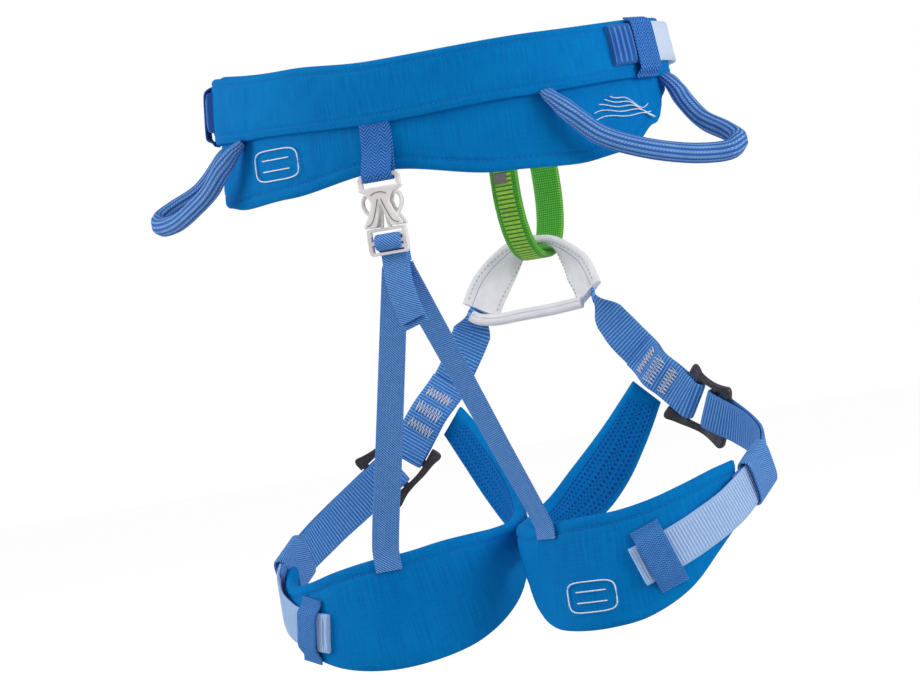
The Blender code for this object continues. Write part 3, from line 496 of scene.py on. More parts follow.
def pad_mesh(name, surface, edges, faces, seams=(), rounding=EDGE_ROUND, rows=14):
    """A padded sheet on surface(turn, z, offset) between its low and high edge curves, with rounded edges and
    grooves along its seams, given as (edge, distance). faces are the offsets of its inner and outer face.
    Returns the mesh, and each vertex's distance from the nearest edge or seam, which is 0 over the inner
    face."""
    low, high = edges
    inner, outer = faces
    middles = [surface(*low(i / 60)[:2]).lerp(surface(*high(i / 60)[:2]), 0.5) for i in range(61)]
    length = running_lengths(middles)[-1]
    edge_steps = [0.0, 0.3, 0.8, 1.5, 2.3, 3.2]
    count = round((length - 10) / PAD_SPACING)
    marks = edge_steps + [5 + (length - 10) * i / count for i in range(count + 1)]
    marks += [length - e for e in reversed(edge_steps)]
    row_steps = edge_steps + [4.2, 5.0, SEAM_INSET, 6.2, 7.0, 8.5, 10.0]
    middle = (inner + outer) / 2
    rings, free, heights = [], [], []
    for s in marks:
        height, spot = pad_column(surface, edges, s / length)
        heights.append(height)
        near = [r * min(1.0, height / NARROW_PAD) for r in row_steps]
        gap = height - 2 * near[-1]
        ups = near + [near[-1] + gap * j / rows for j in range(1, rows)]
        ups += [height - r for r in reversed(near)]
        face, back, clear = [], [], []
        for up in ups:
            turn, z = spot(up / height)
            reach = min(up, height - up, s, length - s)
            bulge = math.sqrt(1 - (1 - min(1.0, (reach + 0.03) / rounding)) ** 2)
            off = [(up if edge == "low" else height - up) - inset for edge, inset in seams]
            groove = bulge * sum(SEAM_DEPTH * math.exp(-((o / SEAM_WIDTH) ** 2)) for o in off)
            face.append(surface(turn, z, middle + (outer - middle) * bulge - groove))
            back.append(surface(turn, z, middle + (inner - middle) * bulge + 0.3 * groove))
            clear.append(min([reach] + [abs(o) for o in off]))
        rings.append(array_of(face + back[::-1]))
        free.append(clear + [0.0] * len(back))
    shares = np.linspace(-0.5, 0.5, len(ups)) * (sum(heights) / len(heights))
    vs = np.concatenate([shares, shares[::-1], shares[:1]])
    return grid_mesh(name, rings, marks, vs), np.array(free).reshape(-1)


def read_vertices(mesh, what="co"):
    found = np.empty(len(mesh.vertices) * 3)
    mesh.vertices.foreach_get(what, found)
    return found.reshape(-1, 3)


def pressed(piece, held):
    """Where a cloth simulation under pressure takes the piece's vertices, with the held ones sewn down."""
    scene = bpy.context.scene
    group = piece.vertex_groups.new(name="sewn")
    for index in np.nonzero(held)[0]:
        group.add([int(index)], 1.0, "REPLACE")
    cloth = piece.modifiers.new("Stuffing", "CLOTH")
    cloth.settings.quality = 4
    cloth.settings.mass = 0.2
    cloth.settings.use_pressure = True
    cloth.settings.uniform_pressure_force = 4.0
    cloth.settings.effector_weights.gravity = 0
    cloth.settings.vertex_group_mass = "sewn"
    cloth.settings.pin_stiffness = 5
    cloth.settings.shrink_min = -0.012
    cloth.collision_settings.use_collision = False
    for number in range(1, 21):
        scene.frame_set(number)
    swollen = piece.evaluated_get(bpy.context.evaluated_depsgraph_get()).to_mesh()
    moved = read_vertices(swollen)
    scene.frame_set(1)
    piece.modifiers.remove(cloth)
    piece.vertex_groups.remove(group)
    return moved


def stuffed(piece, clear, limit, reach=9.0):
    """Swells the face of a pad as cloth under pressure. Points on a seam or on the inner face are held, and
    nothing moves further than the limit, in millimetres."""
    mesh = piece.data
    rest = read_vertices(mesh)
    loose = np.clip(clear / reach, 0, 1)[:, None]
    most = limit * SIZE * 0.001 * loose
    shift = pressed(piece, clear < 1.0) - rest
    size = np.linalg.norm(shift, axis=1, keepdims=True)
    most = np.maximum(most, 1e-9)
    moved = rest + shift / np.maximum(size, 1e-12) * most * np.tanh(size / most)
    mesh.vertices.foreach_set("co", moved.ravel())
    mesh.update()


def tube_mesh(name, paths, radius, sides=6):
    """Round cords along several paths, joined in one mesh."""
    points, faces, uv = [], [], []
    for path in paths:
        path = array_of(path)
        at = lengths_along(path)
        tangent = unit(np.gradient(path, axis=0))
        spare = np.where(np.abs(tangent[:, 2:3]) < 0.9, [[0, 0, 1.0]], [[1.0, 0, 0]])
        side = unit(np.cross(tangent, spare))
        up = np.cross(side, tangent)
        start, count = len(points), len(path)
        for i in range(count):
            r = radius * (0.35 if i in (0, count - 1) else 1.0)
            for k in range(sides):
                a = 2 * math.pi * k / sides
                points.append(path[i] + side[i] * r * math.cos(a) + up[i] * r * math.sin(a))
        for i in range(count - 1):
            for k in range(sides):
                a, b = start + i * sides + k, start + i * sides + (k + 1) % sides
                faces.append((a, b, b + sides, a + sides))
                uv += [(at[i], k), (at[i], k + 1), (at[i + 1], k + 1), (at[i + 1], k)]
        for i in (0, count - 1):
            faces.append(tuple(range(start + i * sides, start + (i + 1) * sides)))
            uv += [(at[i], k) for k in range(sides)]
    return woven_mesh(name, points, faces, uv)


def cords(name, paths, radius, body, slot, finish, sides=6):
    return settle(name, tube_mesh(name, paths, radius, sides), body, finish)


def stitch_paths(line, pitch):
    """Short threads along a line of (point, normal) pairs. Each dips into the cloth at both ends."""
    points, normals = (array_of(part) for part in zip(*line))
    at = lengths_along(points)
    found = []
    for i in range(int(at[-1] / pitch)):
        thread = []
        for u, lift in ((0.0, -THREAD_DIP), (0.25, THREAD_RISE), (0.75, THREAD_RISE), (1.0, -THREAD_DIP)):
            s = pitch * (i + 0.3 + STITCH_SHARE * u)
            thread.append(sampled(s, at, points) + sampled(s, at, normals) * lift)
        found.append(thread)
    return found


def stitching(name, lines, body, finish, slot, radius=0.27, pitch=STITCH_PITCH):
    paths = [thread for line in lines for thread in stitch_paths(line, pitch)]
    cords(name, paths, radius, body, slot, finish, 5)


def seam_line(surface, edges, edge, inset, offset, steps=120):
    """(point, normal) pairs along a pad's face, at a distance from one of its edges."""
    line = []
    for i in range(steps + 1):
        height, spot = pad_column(surface, edges, 0.012 + 0.976 * i / steps)
        up = inset * min(1.0, height / NARROW_PAD) / height
        turn, z = spot(up if edge == "low" else 1 - up)
        point = surface(turn, z, offset)
        normal = (surface(turn, z, offset + 1) - point).normalized()
        line.append((point, normal if offset > 0 else -normal))
    return line


# ------------------------------------------------------------------------ finishes


def rgb(code):
    """A colour written as six hex digits, as a linear colour."""
    parts = [int(code[i : i + 2], 16) / 255 for i in (0, 2, 4)]
    return tuple(p / 12.92 if p <= 0.04045 else ((p + 0.055) / 1.055) ** 2.4 for p in parts) + (1.0,)


class Value:
    """A node's output. Arithmetic on it adds math nodes to its finish."""

    def __init__(self, finish, socket):
        self.finish = finish
        self.socket = socket

    def __add__(self, other):
        return self.finish.math("ADD", self, other)

    def __sub__(self, other):
        return self.finish.math("SUBTRACT", self, other)

    def __rsub__(self, other):
        return self.finish.math("SUBTRACT", other, self)

    def __mul__(self, other):
        return self.finish.math("MULTIPLY", self, other)

    def __truediv__(self, other):
        return self.finish.math("DIVIDE", self, other)

    def __abs__(self):
        return self.finish.math("ABSOLUTE", self)

    def rise(self, low, high):
        """Goes smoothly from 0 to 1 as the value goes from low to high."""
        node = self.finish.add("MapRange", {"From Min": low, "From Max": high, "Value": self})
        node.interpolation_type = "SMOOTHSTEP"
        return Value(self.finish, node.outputs[0])


class Finish:
    """A Principled material, with patterns drawn on the weave map, whose u and v are in millimetres."""

    def __init__(self, name, roughness, metallic=0.0, sheen=0.0, tint="FFFFFF", shine=0.5):
        self.made = bpy.data.materials.new(name)
        self.made.use_nodes = True
        self.tree = self.made.node_tree
        self.shader = self.tree.nodes["Principled BSDF"]
        self.set(self.shader, {"Roughness": roughness, "Metallic": metallic, "Specular IOR Level": shine})
        self.set(self.shader, {"Sheen Weight": sheen, "Sheen Roughness": 0.5, "Sheen Tint": tint})
        weave = self.add("UVMap")
        weave.uv_map = "weave"
        split = self.add("SeparateXYZ", {0: Value(self, weave.outputs[0])})
        self.u, self.v = (Value(self, socket) for socket in split.outputs[:2])
        self.spot = self.read("TexCoord", "Object")

    def set(self, node, inputs):
        """Gives a node its inputs, by name or number: a Value, a number, or a colour's hex digits."""
        for key, given in inputs.items():
            if isinstance(given, Value):
                self.tree.links.new(given.socket, node.inputs[key])
            else:
                node.inputs[key].default_value = rgb(given) if isinstance(given, str) else given

    def add(self, kind, inputs=()):
        node = self.tree.nodes.new("ShaderNode" + kind)
        self.set(node, dict(inputs))
        return node

    def read(self, kind, output=0, inputs=()):
        return Value(self, self.add(kind, inputs).outputs[output])

    def math(self, operation, *values):
        node = self.add("Math", dict(enumerate(values)))
        node.operation = operation
        return Value(self, node.outputs[0])

    def wave(self, coord, pitch):
        """0 to 1 and back once in each pitch, and 1 at 0."""
        return self.math("COSINE", coord * (2 * math.pi / pitch)) * 0.5 + 0.5

    def weave(self, pitch):
        """A plain weave's threads: waves both ways."""
        return self.wave(self.u, pitch) * self.wave(self.v, pitch)

    def noise(self, u_scale, v_scale, detail=2.0, seed=0.0):
        """Noise on the weave map, stretched by its two scales in 1/mm."""
        spot = self.read("CombineXYZ", 0, {0: self.u * u_scale, 1: self.v * v_scale, 2: seed})
        return self.grain(1.0, detail, spot)

    def grain(self, scale, detail=2.0, vector=None):
        return self.read("TexNoise", 0, {"Scale": scale, "Detail": detail, "Vector": vector or self.spot})

    def faces(self):
        """1 on a strap's outer face, and the distance from the middle on either face."""
        outer = self.math("LESS_THAN", self.v, INNER_FACE / 2)
        return outer, abs(self.v - (1.0 - outer) * INNER_FACE)

    def mix(self, share, first, second):
        node = self.add("Mix")
        node.data_type = "RGBA"
        self.set(node, {"Factor": share, "A": first, "B": second})
        return Value(self, node.outputs["Result"])

    def finish(self, colour, height=None, depth=0.0, strength=0.0, **others):
        """Colour, and bump whose height of 1 is depth millimetres."""
        self.set(self.shader, {"Base Color": colour, **others})
        if height:
            bump = {"Strength": strength, "Distance": depth * 0.001, "Height": height}
            self.set(self.shader, {"Normal": self.read("Bump", 0, bump)})
        return self.made


def pad_finish():
    """Tight plain-woven cover, with slubs that run up and down the pad."""
    f = Finish("pad_cover", 0.75, sheen=0.14, tint="14A4F0", shine=0.05)
    slubs, cross, broad = f.noise(1.9, 0.10, 3), f.noise(0.12, 2.2, 2, 4.0), f.noise(0.022, 0.03, 2, 9.0)
    threads = f.weave(0.75)
    share = slubs * 0.62 + cross * 0.22 + broad * 0.42
    colour = f.mix(share.rise(0.30, 0.90), "0066B2", "0086D0")
    colour = f.mix(threads * 0.08, colour, "2E9CE4")
    return f.finish(colour, slubs * 0.45 + threads * 0.5, 0.09, 0.5)


def lining_finish():
    """Perforated mesh: staggered round holes in a soft knit."""
    f = Finish("pad_lining", 0.85, sheen=0.15, tint="1B82EE", shine=0.08)
    pitch = 2.7
    row = f.math("FLOOR", f.v / pitch)
    stagger = f.math("MODULO", abs(row), 2.0) * 0.5
    dx = f.math("FRACT", f.u / pitch + stagger) - 0.5
    dy = f.math("FRACT", f.v / pitch) - 0.5
    solid = f.math("SQRT", dx * dx + dy * dy).rise(0.17, 0.30)
    knit = f.noise(2.2, 2.2, 3)
    colour = f.mix(solid, "034890", f.mix(knit.rise(0.3, 0.7), "0465B6", "0A7CCB"))
    return f.finish(colour, solid + knit * 0.35, 0.35, 0.8)


def webbing_finish(name, dark, light, pitch=RIB_PITCH, fade=None):
    """Ribbed webbing: a painted highlight makes the crests of the ribs pale, and the selvages are plain. fade
    is (start, end, dark, light), the two distances between which the strap goes over to its second pair of
    colours."""
    f = Finish(name, 0.6, sheen=0.12, tint="8EC4FF", shine=0.22)
    rib = f.wave(f.u, pitch)
    v = f.faces()[1]
    yarn = f.wave(v, 0.9)
    body = 1.0 - v.rise(WEBBING / 2 - 1.5, WEBBING / 2 - 0.9)
    patchy = f.noise(0.45, 0.3, 2, 3.0)
    # Painted highlight: the crests of the ribs go over to the light colour.
    rib_highlight = rib.rise(0.45, 0.95) * body * (patchy * 0.7 + 0.45) * (yarn * 0.25 + 0.75)
    if fade:
        start, end, later_dark, later_light = fade
        along = f.u.rise(start, end)
        dark, light = f.mix(along, dark, later_dark), f.mix(along, light, later_light)
    edge = (1.0 - body) * f.wave(f.u, 0.85)
    colour = f.mix(edge * 0.35, f.mix(rib_highlight, dark, light), light)
    return f.finish(colour, rib * body + yarn * 0.35, 0.16, 0.7)


def elastic_finish(name, dark, light, cell, pitch=1.25, across=1.0):
    """Herringbone elastic: twill lines that turn back in each cell across the width."""
    f = Finish(name, 0.72, sheen=0.12, tint="8EC4FF", shine=0.18)
    lines = f.wave(f.math("PINGPONG", abs(f.v), cell) * across + f.u, pitch)
    beads = f.wave(f.v + f.u * 0.6, 0.8)
    share = lines.rise(0.35, 0.9) * (beads * 0.35 + 0.65)
    patchy = f.noise(0.3, 0.3, 2, 5.0)
    return f.finish(f.mix(share * (patchy * 0.6 + 0.6), dark, light), share, 0.16, 0.75)


def belay_finish():
    """Green webbing: a yellow-green ladder on the outer face, close plain weave on the inner face."""
    f = Finish("belay_webbing", 0.6, sheen=0.15, tint="E0FFC0")
    outer, v = f.faces()
    ladder = (1.0 - v.rise(4.3, 4.9)) * outer
    rung = f.wave(f.u, LADDER_PITCH).rise(0.12, 0.42)
    fine = f.wave(f.u, 1.3) * f.wave(v, 1.2)
    edge = v.rise(6.3, 6.9) * f.wave(f.u, 1.3)
    green = f.mix(edge * 0.7, f.mix(fine.rise(0.1, 0.7), "2C9418", "62D438"), "8BD63A")
    bright = f.mix(f.noise(0.8, 0.2, 2, 1.0), "BEE854", "94DA38")
    colour = f.mix(ladder, green, f.mix(rung, "2A8414", bright))
    soiled = f.noise(0.35, 0.5, 3, 6.0).rise(0.45, 0.75)
    return f.finish(f.mix(soiled * 0.35, colour, "3C8A14"), ladder * rung + fine * 0.4, 0.3, 0.8)


def white_finish():
    """Pale close-woven tape, whiter on its threads and a little grey in its hollows: a painted highlight and
    painted shade.
    """
    f = Finish("pale_tape", 0.7, sheen=0.2)
    fine = f.weave(0.8)
    soft = f.noise(0.12, 0.2, 3)
    # Painted highlight on the threads, which leaves painted shade in the weave's hollows.
    colour = f.mix(fine * 0.2, f.mix(soft.rise(0.3, 0.7), "F0EFF2", "FAF9FA"), "FDFDFE")
    return f.finish(colour, fine * 0.5 + soft * 0.3, 0.14, 0.6)


def thread_finish(name, colour, light):
    f = Finish(name, 0.6, sheen=0.05, shine=0.2)
    twist = f.wave(f.u + f.v * 0.12, 0.5)
    return f.finish(f.mix(twist, colour, light), twist, 0.05, 0.5)


def braid_finish():
    """Braided sheath of the gear loops, with painted shade in the gaps where its strands cross."""
    f = Finish("gear_braid", 0.62, sheen=0.08, tint="6EB4FF", shine=0.18)
    one, two = f.wave(f.u + f.v, 1.5), f.wave(f.u - f.v, 1.5)
    row = f.wave(f.v, BRAID_ROW).rise(0.15, 0.75)
    beads = f.wave(f.u + f.v * 0.5, 1.7) * 0.5 + 0.5
    patchy = f.noise(0.15, 0.1, 2, 8.0) * 0.8 + 0.5
    dips = (1.0 - one) * (1.0 - two)
    colour = f.mix(row * beads * patchy, "2A68BE", "92BEF0")
    # Painted shade: darker towards 184E98 in the gaps between the strands.
    colour = f.mix(dips.rise(0.25, 0.7) * 0.55, colour, "184E98")
    return f.finish(colour, f.math("MAXIMUM", one, two) * 0.4 + row, 0.35, 0.8)


def steel_finish():
    """Dark coated steel, with fine scratches and rubbed edges."""
    f = Finish("buckle_steel", 0.42, metallic=0.35)
    scratches = f.grain(900.0, 4)
    edges = f.read("NewGeometry", "Pointiness").rise(0.53, 0.60) * f.grain(260.0, 3).rise(0.35, 0.65)
    colour = f.mix(edges * 0.55, f.mix(scratches.rise(0.35, 0.75), "35343A", "4E4C52"), "97979C")
    return f.finish(colour, scratches, 0.02, 0.4, Roughness=scratches * 0.25 + 0.30)


def plastic_finish():
    """Moulded plastic with a fine grain, and painted shade that darkens its hollows."""
    f = Finish("buckle_plastic", 0.42)
    grain = f.grain(2200.0)
    # Painted shade: the plastic goes darker towards B4ABAA where its surface is hollow.
    hollow_shade = 1.0 - f.read("NewGeometry", "Pointiness").rise(0.40, 0.50)
    colour = f.mix(hollow_shade * 0.5, f.mix(f.grain(60.0).rise(0.3, 0.7), "F2ECEC", "FBF8F7"), "B4ABAA")
    return f.finish(colour, grain, 0.03, 0.5, Roughness=grain * 0.2 + 0.34)


def groove_shade_finish():
    # Painted shade: a dark grey for the shade inside the buckle's moulded grooves.
    f = Finish("buckle_groove_shade", 0.6)
    return f.finish(f.mix(f.grain(800.0), "6E6664", "8A8280"))


def print_finish():
    f = Finish("pale_print", 0.6)
    worn = f.grain(1500.0, 3)
    return f.finish(f.mix(worn.rise(0.3, 0.5), "BFD8F2", "F2F6FB"), worn, 0.03, 0.4)


def label_finish():
    f = Finish("grey_label", 0.7)
    return f.finish(f.mix(f.weave(0.6), "6E6A62", "A29E94"), f.weave(0.6), 0.05, 0.5)


def floor_finish():
    f = Finish("floor", 0.9, shine=0.0)
    seen = f.read("LightPath", "Is Camera Ray")
    glow = {"Emission Color": "FFFFFF", "Emission Strength": seen * FLOOR_GLOW + 0.2}
    return f.finish(f.mix(f.grain(2.0), (0.46, 0.46, 0.46, 1), (0.50, 0.50, 0.50, 1)), **glow)


# Webbing colours come in pairs: the colour between the ribs, and the paler colour of the painted highlight on
# their crests.
SEA_BLUE = ("2B76C6", "92C0F2")
PALE_BLUE = ("8FB6EA", "D6E4F8")
COVER = pad_finish()
LINING = lining_finish()
STRAP = webbing_finish("webbing", *SEA_BLUE)
PALE_STRAP = webbing_finish("webbing_pale", *PALE_BLUE)
WAIST_STRAP = webbing_finish("webbing_waist", "C2D7F6", "FAFCFF")
LEG_STRAP = webbing_finish("webbing_leg", *SEA_BLUE, fade=(170.0, 205.0, *PALE_BLUE))
TAIL = webbing_finish("webbing_tail", "1858AC", "5C98DE", RIDGE_PITCH)
HERRINGBONE = elastic_finish("elastic_herringbone", "0E54AA", "5C9EE8", 2.7, 1.7)
TWILL = elastic_finish("elastic_twill", "2A70C2", "92C0F4", 40.0, 1.3, 0.8)
DIAMOND = elastic_finish("elastic_diamond", "1A62B4", "68A4E0", 0.9, 1.1, 0.8)
BELAY = belay_finish()
WHITE = white_finish()
BRAID = braid_finish()
STEEL = steel_finish()
PLASTIC = plastic_finish()
GROOVE_SHADE = groove_shade_finish()
BLUE_THREAD = thread_finish("blue_thread", "0C68BC", "2686D8")
DEEP_THREAD = thread_finish("deep_thread", "1450A0", "2F7BD0")
WHITE_THREAD = thread_finish("white_thread", "E4E6F2", "FFFFFF")
GREY_THREAD = thread_finish("grey_thread", "9C9CA2", "B8B8BE")
GREEN_THREAD = thread_finish("green_thread", "2C8C14", "57B830")
PRINT = print_finish()
LABEL = label_finish()


# ------------------------------------------------------------------------- the waist


def belt_edge(keys):
    """An edge curve of the belt, as (turn, z) at a share of its length."""

    def edge(share):
        turn = (2 * share - 1) * WAIST_PAD_END
        return (turn, between(keys, turn))

    return edge


def trimmed(edge, rise=0.0, ends=0.0):
    """An edge curve moved up, and drawn in at both ends by a share of the length."""

    def moved(share):
        a, z = edge(ends + (1 - 2 * ends) * share)[:2]
        return (a, z + rise, 0)

    return moved


def waist_pad():
    low, high, seam = (belt_edge(keys) for keys in (PAD_BOTTOM, BAND_TOP, BAND_BOTTOM))
    mesh, clear = pad_mesh("waist_pad", waist_point, (low, high), WAIST_PAD_FACES, [("low", SEAM_INSET)])
    piece = settle("waist_pad", mesh, "waist", COVER, ["waist_pad_cover", "waist_pad_foam"])
    below = []
    for vertex in mesh.vertices:
        x, y, z = vertex.co / (SIZE * 0.001) + ORIGIN
        turn = math.degrees(math.atan2(x / WAIST_HALF_WIDTH, -y / WAIST_HALF_DEPTH))
        below.append(between(BAND_BOTTOM, turn) + BELT_LIFT - BELT_TILT * x - z)
    stuffed(piece, np.minimum(clear, np.maximum(below, 0)), 1.5)

    lining = trimmed(low, 5.0, 0.012), trimmed(high, -5.0, 0.012)
    mesh, _ = pad_mesh("waist_lining", waist_point, lining, WAIST_LINING_FACES, rounding=0.5, rows=10)
    settle("waist_lining", mesh, "waist", LINING, ["waist_pad_lining"])

    band_low = lambda share: (seam(share)[0] * 0.99, seam(share)[1])
    band_high = lambda share: (high(share)[0] * 0.99, high(share)[1] - 0.6)
    band = band_low, band_high
    mesh, clear = pad_mesh("waist_band", waist_point, band, BAND_FACES, BAND_SEAMS, rows=8)
    piece = settle("waist_band", mesh, "waist", COVER, ["waist_band_sleeve"])
    stuffed(piece, clear * 0.8, 0.45, reach=4.0)

    lines = [seam_line(waist_point, (low, high), "low", SEAM_INSET, 0.55)]
    for (edge, inset), offset in zip(BAND_SEAMS, (3.75, 4.15, 4.15)):
        lines.append(seam_line(waist_point, band, edge, inset, offset))
    lines += [seam_line(waist_point, lining, edge, 1.2, -5.8) for edge in ("low", "high")]
    stitching("waist_stitching", lines, "waist", BLUE_THREAD, "pad_fabric")


def strap_point(turn, offset):
    """A point on the waist strap's line, which climbs from the back towards the sides."""
    back_turn = abs((turn + 180) % 360 - 180)
    return waist_point(turn, between(STRAP_HEIGHT, back_turn), offset)


def strap_line(start, end):
    """The waist strap's track, a degree at a time."""
    points, normals = [], []
    for turn in range(start, end + 1):
        height = strap_point(turn, 0.0).z
        points.append(strap_point(turn, 2.3))
        along = strap_point(turn + 1, 0) - strap_point(turn - 1, 0)
        upward = waist_point(turn, height + 1) - waist_point(turn, height - 1)
        normals.append(along.cross(upward).normalized())
    return Track(points, normals)


def waist_straps():
    track = strap_line(-180, 180)
    centre = {side: track.nearest(strap_point(side * WAIST_BUCKLE_TURN, 0)) for _, side in SIDES}
    tip = {side: track.nearest(strap_point(side * WAIST_TAIL_TIP, 0)) for _, side in SIDES}
    left, right = (centre[side] - side * BAR_TURNED for _, side in SIDES)
    near, spread = 2.0, 22.0
    over = lambda s_bar: hump(s_bar, BIGHT_RADIUS, WAIST_TAIL_LIFT, spread)
    under = lambda s_bar: hump(s_bar, -BIGHT_RADIUS, 0.0, spread)
    stations = layer(track, tip[-1], left + near, over(left))
    stations += bight(track, left, 1, -1)
    stations += layer(track, left + near, right - near, lambda s: under(left)(s) + under(right)(s))
    stations += reversed(bight(track, right, 1, 1))
    stations += layer(track, right - near, tip[1], over(right))
    webbing("waist_webbing", stations, "waist", WAIST_STRAP, ["waist_strap"], rib=0.10, step=0.45)
    flipped = Track(track.points[::-1], track.normals[::-1])
    for name, side in SIDES:
        tail_end(f"waist_tail_end_{name}", track, tip[side], side, WAIST_TAIL_LIFT, "waist", TAIL, 13.5)
        way = (track, centre[side]) if side < 0 else (flipped, track.lengths[-1] - centre[side])
        steel_buckle(f"waist_buckle_{name}", *way, 1.0)
    front = strap_line(120, 240)
    spots = [track.frame(centre[side] - side * BAR_HELD)[0] for _, side in SIDES]
    s_left, s_right = sorted(front.nearest(spot) for spot in spots)
    lap, apart, spread = 19.0, 0.95, 8.0
    over_left = hump(s_left, BIGHT_RADIUS, apart, spread)
    over_right = hump(s_right, BIGHT_RADIUS - apart, 0.0, spread)
    over = lambda s: over_left(s) + over_right(s)
    under_left, under_right = (hump(s, -BIGHT_RADIUS, -apart, spread) for s in (s_left, s_right))
    middle = s_right - BAR_NEAR
    stations = folded(front, s_left + lap, s_left, middle, under_left, over, -1)
    stations += bight(front, s_right, 1, 1) + layer(front, middle, s_right - lap, under_right)
    webbing("waist_front_webbing", stations, "waist", STRAP, ["waist_front_strap"], rib=0.10)
    spots = [s_left + 8.0, s_left + 13.0, s_right - 8.0, s_right - 13.0]
    tacks = [zigzag(front, s, over, 0.9) for s in spots]
    cords("waist_front_bartacks", tacks, 0.3, "waist", "webbing", WHITE_THREAD, 5)


def zigzag(track, s_middle, offset, lift, half_width=7.2, reach=2.3, teeth=8):
    """A bartack's thread, to and fro along the strap while it works across the width."""
    path = []
    for i in range(2 * teeth + 1):
        v = half_width * (i / teeth - 1)
        s = s_middle + (reach if i % 2 else -reach) + 0.25 * math.sin(2.7 * i)
        point, _, normal, across = track.frame(s)
        path.append(point + across * v + normal * (offset(s_middle) + lift))
    return path


def tail_end(name, track, s_tip, way, offset, body, finish, length=8.0):
    """The rolled end of a running strap, sewn in ridges."""
    stations = layer(track, s_tip - way * 0.6, s_tip + way * length, lambda s: offset, 0.4)
    ridges = {"rib": 0.42, "pitch": RIDGE_PITCH, "step": 0.35}
    strap(name, stations, WEBBING, 3.2, body, "webbing", finish, **ridges)


def waist_tie_in():
    half = [(-24, 88.0, 141), (-23, 88.4, 130), (-19, 90.3, 119), (-10, BELAY_Y, 110.0), (0, BELAY_Y, 108.0)]
    stations = []
    for p in spline(mirrored(half), 90):
        turn = math.radians(90) * min(1.0, max(0.0, (p.z - 110) / 14))
        stations.append((p, Vector((math.copysign(math.sin(turn), p.x), math.cos(turn), 0))))
    strap("waist_tie_in", stations, 12.0, 3.0, "waist", "white_webbing", WHITE, ["waist_tie_in_loop"])


def waist_keepers():
    """Elastic hoops over the band. Each goes flat on the band below the tail, over it, and back above it."""
    outline = [(113.4, 4.2), (115.2, 5.4), (117.0, 8.0), (120.1, 8.5), (129.6, 8.6), (138.6, 8.5)]
    outline += [(141.0, 7.8), (142.3, 5.8), (142.7, 4.4)]
    for name, side in SIDES:
        turn = side * WAIST_KEEPER
        stations = []
        for z, w, _ in spline([(z, w, 0) for z, w in outline], 80):
            along = waist_point(turn + 1, z, w) - waist_point(turn - 1, z, w)
            stations.append((waist_point(turn, z, w), along))
        node = f"waist_keeper_{name}"
        strap(f"waist_elastic_{name}", stations, 16.0, 1.0, "waist", "elastic", HERRINGBONE, [node], step=0.5)


# ------------------------------------------------------------------------ gear loops


def gear_loops():
    """Braided cords that hang from the band. Their keys are (along, outward, down) from the middle of the
    chord between their ends."""
    for name, side in SIDES:
        rear, front = (waist_point(side * turn, z, GEAR_OFF) for turn, z in (GEAR_REAR, GEAR_FRONT))
        chord = (front - rear).normalized()
        out = Vector((side * abs(chord.y), -abs(chord.x), 0)).normalized()
        mid = (rear + front) / 2

        def spot(along, outward, down):
            reach_out = outward * (GEAR_OUT[name] if outward > 0 else 1.0)
            return mid + chord * along + out * reach_out - Vector((0, 0, down * GEAR_DROP[name]))

        reach = (front - rear).length / 2
        keys = [(-reach - 0.5, -4.5, -7), (-reach, 0, -2), (-reach + 4, 7.5, 8), (-reach + 13, 15, 21)]
        keys += [(-7, 24, 31), (12, 31, 37.5), (26, 37, 40), (33.5, 41, 39.5), (38.6, 40.5, 35.5)]
        keys += [(40, 32, 30), (39, 16, 21), (reach + 2, 5, 9), (reach + 0.5, -1, -2), (reach, -5.5, -7)]
        path = array_of(spline([spot(*key) for key in keys], 260))
        at = lengths_along(path)
        tangent = unit(np.gradient(path, axis=0))
        upright = np.array([[0.0, 0.0, 1.0]])
        wide = unit(upright - tangent * (upright * tangent).sum(1, keepdims=True))
        thin = np.cross(tangent, wide)
        corners = 36
        turns = 2 * math.pi * np.arange(corners) / corners
        ridges = 1 + 0.035 * np.cos(BRAID_RIDGES * turns)
        from_end = np.minimum(at, at[-1] - at)
        flat = 0.42 + 0.58 * np.clip(from_end / GEAR_SEWN, 0, 1) ** 0.8
        x = GEAR_SHEATH[0] * ridges * np.cos(turns)
        y = GEAR_SHEATH[1] * ridges * np.sin(turns)
        rings = path[:, None, :] + wide[:, None, :] * (x[None, :] * flat[:, None])[:, :, None]
        rings = rings + thin[:, None, :] * y[None, :, None]
        vs = [BRAID_GIRTH * k / corners for k in range(corners + 1)]
        mesh = grid_mesh(f"gear_loop_{name}_sheath", rings, at, vs)
        replaced = [f"gear_loop_{name}", f"gear_loop_core_{name}"]
        settle(f"gear_sheath_{name}", mesh, f"gear_{name}", BRAID, replaced)


# ------------------------------------------------------------------------ belay loop


